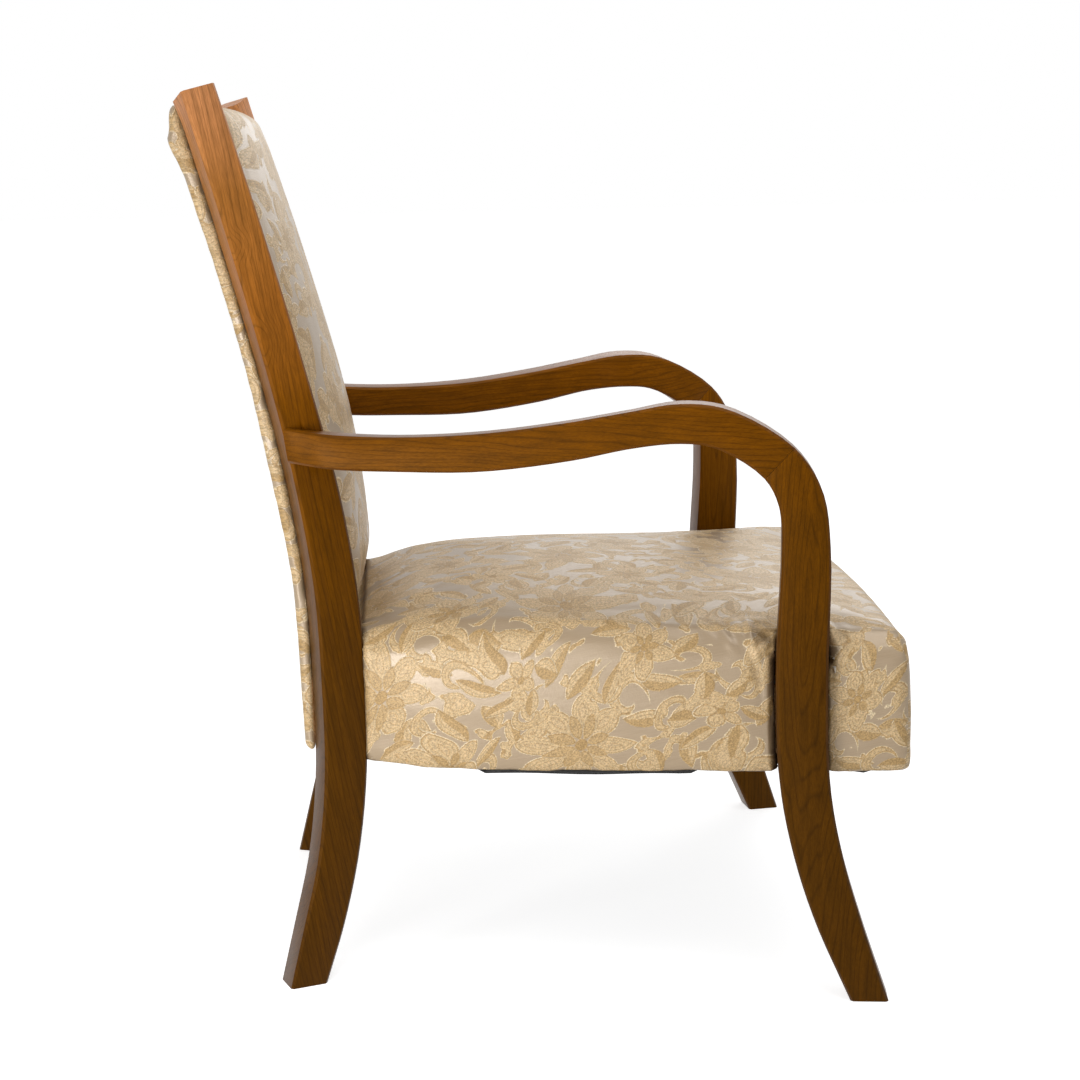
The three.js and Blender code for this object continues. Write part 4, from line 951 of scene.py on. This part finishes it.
def seat_uv(piece):
    corners, faces = corner_arrays(piece)
    points = points_of(piece)
    at = points[corners]
    middles = np.zeros((len(piece.data.polygons), 3))
    np.add.at(middles, faces, at)
    middles /= np.bincount(faces)[:, None]
    half, front = side_at(at[:, 1]) - EDGE_RADIUS, front_at(at[:, 0]) + FRONT_RUN
    side_gain = np.abs(middles[:, 0]) - side_at(middles[:, 1])
    front_gain = front_at(middles[:, 0]) - middles[:, 1]
    over_side = (side_gain > front_gain)[faces]
    beyond_side = np.abs(at[:, 0]) - half
    beyond_front = front - at[:, 1]
    across = np.where(over_side & (beyond_side > 0),
                      half + over_edge(beyond_side, at[:, 2], EDGE_RADIUS), np.abs(at[:, 0]))
    along = np.where(~over_side & (beyond_front > 0),
                     front - over_edge(beyond_front, at[:, 2], FRONT_RUN), at[:, 1])
    give_uv(piece, np.stack([along, across * np.sign(at[:, 0])], axis=1))


seat_uv(seat)
select_only(seat)
bpy.ops.object.shade_smooth()
finish_piece(seat, brocade, "brocade", "seat_cover")
print("seat cover finished")

# %% [markdown]
# The back pad fills the space between the posts and is drawn over the top rail. It is swelled in
# the same way, with its rear held. The outside back is a second cloth over thin wadding, tacked
# between the posts. Near its top the wadding has slipped down into a roll, and folds run away
# from it, which is what makes such a chair look used.

# %% The back pad
BACK_VOXEL = 5.5 * MM
LEVEL_REACH = 40 * MM  # how far above and below a level its points are looked for
WRAP = (0.12, 0.2)  # m from the middle, where the cloth begins to run round the sides


def reach_of(cad, axis):
    """How far a frame part reaches along an axis at some heights: (height, reach) points."""
    at = points_of(nodes[cad])
    levels = np.linspace(at[:, 2].min(), at[:, 2].max(), 9)
    return [(z, at[np.abs(at[:, 2] - z) < LEVEL_REACH, axis].max()) for z in levels]


def wrap_uv(piece, rear):
    """Across and up, with the cloth running on round the sides by their depth."""
    corners, _ = corner_arrays(piece)
    at = points_of(piece)[corners]
    heights, depths = np.array(rear).T
    behind = np.interp(at[:, 2], heights, depths) - at[:, 1]
    across = at[:, 0] - np.sign(at[:, 0]) * behind * smooth_step(*WRAP, np.abs(at[:, 0]))
    give_uv(piece, np.stack([across, at[:, 2]], axis=1))


def finish_back(piece, *replaced):
    """Clears the posts, lays the drawing on and hides the frame parts that the piece replaces."""
    keep_clear(piece, CLEARANCE, *POSTS)
    # painted shade on the cloth beside the posts
    give_painted_shade(piece, 0)
    wrap_uv(piece, reach_of(replaced[0], 1))
    select_only(piece)
    bpy.ops.object.shade_smooth()
    finish_piece(piece, brocade, "brocade", *replaced)
    print(piece.name, len(piece.data.polygons), "faces")


def make_back_pad():
    pad = copy_of("back_padding", "back_pad")
    remesh(pad, BACK_VOXEL)
    set_points(pad, points_of(pad) + normals_of(pad) * SKIN)
    facing = normals_of(pad)[:, 1]
    inflate(pad, facing > 0.3)
    subdivide(pad)
    finish_back(pad, "back_cover", "back_padding")


make_back_pad()

# %% The outside back
OUTSIDE_VOXEL = 5 * MM
ROLL_HEIGHT = 836 * MM
FOLD_DEPTH = 2.6 * MM
FOLD_START = (-6 * MM, 12 * MM)  # below the roll
FOLD_RUN = 0.05  # m below the roll, over which the folds fade
FAN_MIDDLE = 0.12  # m above the roll, where all folds would meet
FAN_FOLDS = 16  # radians of fold in a radian of the fan
FAN_BEND, FAN_BENDS = 1.5, 7  # by how much and how often their spacing changes
SLACK = 1.4 * MM  # of the slow waves all over the cloth
OUTER_FACE = (0.2, 0.6)  # how squarely a point faces the rear, where the folds set in
SEAM_INSET = 16 * MM  # from the posts to the seam of the border
SEAM_DEPTH = 1.8 * MM
SEAM_WIDTH = 5 * MM
SEAM_LINE = reach_of("outside_back", 0)


def slack_folds(points, normals):
    """Folds that run down and outwards from the roll, slow waves, and a seam beside each post."""
    x, z = points[:, 0], points[:, 2]
    below = ROLL_HEIGHT - z
    fade = smooth_step(*FOLD_START, below) * np.exp(-np.maximum(below, 0) / FOLD_RUN)
    fan = np.arctan2(x, below + FAN_MIDDLE)
    bend = FAN_BEND * np.sin(fan * FAN_BENDS)
    folds = np.sin(fan * FAN_FOLDS + bend) * fade * FOLD_DEPTH
    slow = np.sin(z * 21 + 3 * x) * np.sin(z * 9 + 1) * SLACK
    outer = smooth_step(*OUTER_FACE, normals[:, 1])
    half = np.interp(z, *np.array(SEAM_LINE).T)
    seam = -SEAM_DEPTH * np.exp(-((np.abs(x) - half + SEAM_INSET) / SEAM_WIDTH) ** 2)
    return points + normals * ((folds + slow + seam) * outer)[:, None]


def make_outside_back():
    panel = copy_of("outside_back", "outside_back_cloth")
    remesh(panel, OUTSIDE_VOXEL, 5)
    subdivide(panel)
    set_points(panel, slack_folds(points_of(panel), normals_of(panel)))
    finish_back(panel, "outside_back")


make_outside_back()

# %% [markdown]
# What the chair holds inside keeps its frame shapes. Only its materials change: sawn beech for
# the rails, blocks and dowels, drawn steel for springs, screws and bolts, and jute for the straps.

# %% Materials of the inner pieces
WAVE_PACE = 20  # radians that a wave texture runs in a unit at a scale of 1


def make_beech():
    """Sawn beech: pale pinkish brown with short dark flecks and no varnish."""
    material, tree, shader = new_material("sawn beech")
    place = node(tree, "TexCoord", {}, output=3)
    fleck_size = (1 / (2 * MM), 1 / (9 * MM), 1 / (2 * MM))
    fleck_place = node(tree, "VectorMath", {0: place, 1: fleck_size}, operation="MULTIPLY")
    fleck = node(tree, "TexNoise", {"Vector": fleck_place, "Scale": 1, "Detail": 2})
    tone = node(tree, "ValToRGB", {0: fleck},
                stops=[(0.35, "#a9794f"), (0.5, "#c59a6c"), (0.7, "#cfa678")])
    relief = node(tree, "Bump", {"Height": fleck, "Distance": 0.2 * MM, "Strength": 0.6})
    fill(tree, shader, {"Base Color": tone, "Roughness": 0.7, "Normal": relief})
    return material


def make_steel():
    """Drawn and blackened steel wire: grey, with brighter scuffs and a brown bloom of rust."""
    material, tree, shader = new_material("drawn steel")
    place = node(tree, "TexCoord", {}, output=3)
    bloom = node(tree, "TexNoise", {"Vector": place, "Scale": 1 / (14 * MM), "Detail": 4})
    tone = node(tree, "ValToRGB", {0: bloom},
                stops=[(0.35, "#6a5a4c"), (0.5, "#83807c"), (0.7, "#9b9a97")])
    rough = node(tree, "MapRange", {0: bloom, 1: 0.35, 2: 0.7, 3: 0.6, 4: 0.32})
    fill(tree, shader, {"Base Color": tone, "Roughness": rough, "Metallic": 1})
    return material


def make_plain_weave(name, thread, dark, pale):
    """A plain weave of jute or cotton: over-and-under threads, hairy and quite rough."""
    material, tree, shader = new_material(name)
    place = node(tree, "TexCoord", {}, output=3)
    warp, weft = (node(tree, "TexWave", {"Vector": place, "Scale": 1 / (thread * WAVE_PACE),
                                         "Distortion": 1.5}, output=1, bands_direction=direction,
                       wave_profile="SIN") for direction in "XY")
    weave = node(tree, "Math", {0: warp, 1: weft}, operation="MULTIPLY")
    tone = node(tree, "ValToRGB", {0: weave}, stops=[(0.1, dark), (0.8, pale)])
    relief = node(tree, "Bump", {"Height": weave, "Distance": 0.4 * MM, "Strength": 0.8})
    fill(tree, shader, {"Base Color": tone, "Roughness": 0.95, "Normal": relief,
                        "Sheen Weight": 0.2})
    return material


def make_wadding():
    """Cotton and hair wadding: pale grey, clumped and without gloss."""
    material, tree, shader = new_material("cotton and hair wadding")
    place = node(tree, "TexCoord", {}, output=3)
    clump = node(tree, "TexNoise", {"Vector": place, "Scale": 1 / (11 * MM), "Detail": 6})
    tone = node(tree, "ValToRGB", {0: clump}, stops=[(0.35, "#8f867a"), (0.6, "#cfc8bb")])
    relief = node(tree, "Bump", {"Height": clump, "Distance": 3 * MM, "Strength": 0.8})
    fill(tree, shader, {"Base Color": tone, "Roughness": 1, "Normal": relief})
    return material


beech, steel, wadding = make_beech(), make_steel(), make_wadding()
webbing_jute = make_plain_weave("jute webbing", 2.2 * MM, "#7a6140", "#b2966b")
hessian_jute = make_plain_weave("hessian", 1.6 * MM, "#86704b", "#c0a67a")
lining_cotton = make_plain_weave("black cotton lining", 0.8 * MM, "#0b0b0c", "#1c1c1e")

INNER = {"rail": beech, "block": beech, "dowel": beech, "stile": beech, "spring": steel,
         "screw": steel, "bolt": steel, "webbing": webbing_jute}
for name, part in nodes.items():
    for word, material in INNER.items():
        if word in name:
            part.data.materials.clear()
            part.data.materials.append(material)
print("inner pieces have their materials")

# %% [markdown]
# Three soft pieces remain: the stuffing, the hessian over the springs, and the black lining under
# the seat, which peeks out below the hem in two places. Each is a copy of its frame part, cut into
# small squares by Bisect, so that its points can sag or clump a little. The stuffing is also
# pressed in where the cloth runs close over it.

# %% Stuffing, hessian and lining
LINING_SQUARE = 18 * MM
HESSIAN_SQUARE = 20 * MM
STUFFING_SQUARE = 9 * MM
LINING_INSET = 12 * MM  # how far in it ends where it doesn't peek out
LINING_SAG = 4 * MM
LINING_RIPPLE = 0.7 * MM
SAG_START = (0.02, 0.12)  # m from the seat's edge
HANG_END = (0.02, 0.1)  # m from the seat's edge
RIM = 0.03  # m, the part of the lining that is drawn in beside the edge
PEEK = 2 * MM  # how far the lining peeks out below the hem
# where the lining hangs below the hem: a place from front to back in m, and 1 for all of it
PEEKS = [(-0.31, 0), (-0.3, 0.8), (-0.28, 0.8), (-0.27, 0), (-0.15, 0), (-0.13, 1), (0.07, 1),
         (0.09, 0)]
UNDER_CLOTH = 6.5 * MM  # from the outside of the cloth to the stuffing, at least
UNDER_REACH = 14 * MM  # how far out the cloth over the stuffing is looked for
CLUMPS = (170, 90, 60), (-60, 150, 110)  # radians in a metre of the waves that make the clumps


def cut_in_squares(piece, spacing, axes):
    """Cuts the mesh by planes square to the given axes, at an even spacing."""
    low, high = points_of(piece).min(axis=0), points_of(piece).max(axis=0)
    select_only(piece)
    bpy.ops.object.mode_set(mode="EDIT")
    for axis in axes:
        direction = np.eye(3)[axis]
        for place in np.arange(low[axis] + spacing, high[axis], spacing):
            bpy.ops.mesh.select_all(action="SELECT")
            bpy.ops.mesh.bisect(plane_co=direction * place, plane_no=direction)
    bpy.ops.object.mode_set(mode="OBJECT")


def make_lining():
    lining = copy_of("dust_cover", "black_lining")
    cut_in_squares(lining, LINING_SQUARE, (0, 1))
    points = points_of(lining)
    x, y = points[:, 0], points[:, 1]
    edge = np.minimum(side_at(y) - np.abs(x), y - front_at(x))
    low = np.interp(y, *np.array(PEEKS).T)
    hang = (hem_sag(y) + PEEK) * low * (1 - smooth_step(*HANG_END, edge))
    ripple = np.sin(y * 47) * np.sin(x * 31) * LINING_RIPPLE
    sag = smooth_step(*SAG_START, edge) * LINING_SAG + ripple
    points[:, 2] -= sag + hang
    inset = 1 - (1 - low) * LINING_INSET / np.maximum(np.abs(x), 0.1)
    points[:, 0] *= np.where(edge < RIM, inset, 1)
    set_points(lining, points)
    finish_piece(lining, lining_cotton, "lining", "dust_cover")


def make_hessian():
    hessian = copy_of("seat_hessian", "spring_hessian")
    cut_in_squares(hessian, HESSIAN_SQUARE, (0, 1))
    finish_piece(hessian, hessian_jute, "webbing", "seat_hessian")


def press_in(piece, skin):
    """Presses the stuffing in wherever the cloth over it would come too close."""
    points = points_of(piece)
    for i, p in enumerate(points):
        near, out, _, _ = skin.find_nearest(Vector(p), UNDER_REACH)
        if near is not None and (Vector(p) - near).dot(out) > -UNDER_CLOTH:
            points[i] = near - out * UNDER_CLOTH
    set_points(piece, points)


def make_stuffing():
    stuffing = copy_of("seat_padding", "seat_stuffing")
    cut_in_squares(stuffing, STUFFING_SQUARE, (0, 1, 2))
    points, normals = points_of(stuffing), normals_of(stuffing)
    clumps = 0.4 + 0.4 * np.sin(points @ CLUMPS[0]) * np.sin(points @ CLUMPS[1] + 1)
    set_points(stuffing, points - normals * clumps[:, None] * MM)
    press_in(stuffing, seat_skin)
    finish_piece(stuffing, wadding, "wadding", "seat_padding")


make_lining()
make_hessian()
make_stuffing()

# %% [markdown]
# Last, the view transform is Standard, which shows a colour as it was written.

# %% Finish
bpy.context.scene.view_settings.view_transform = "Standard"
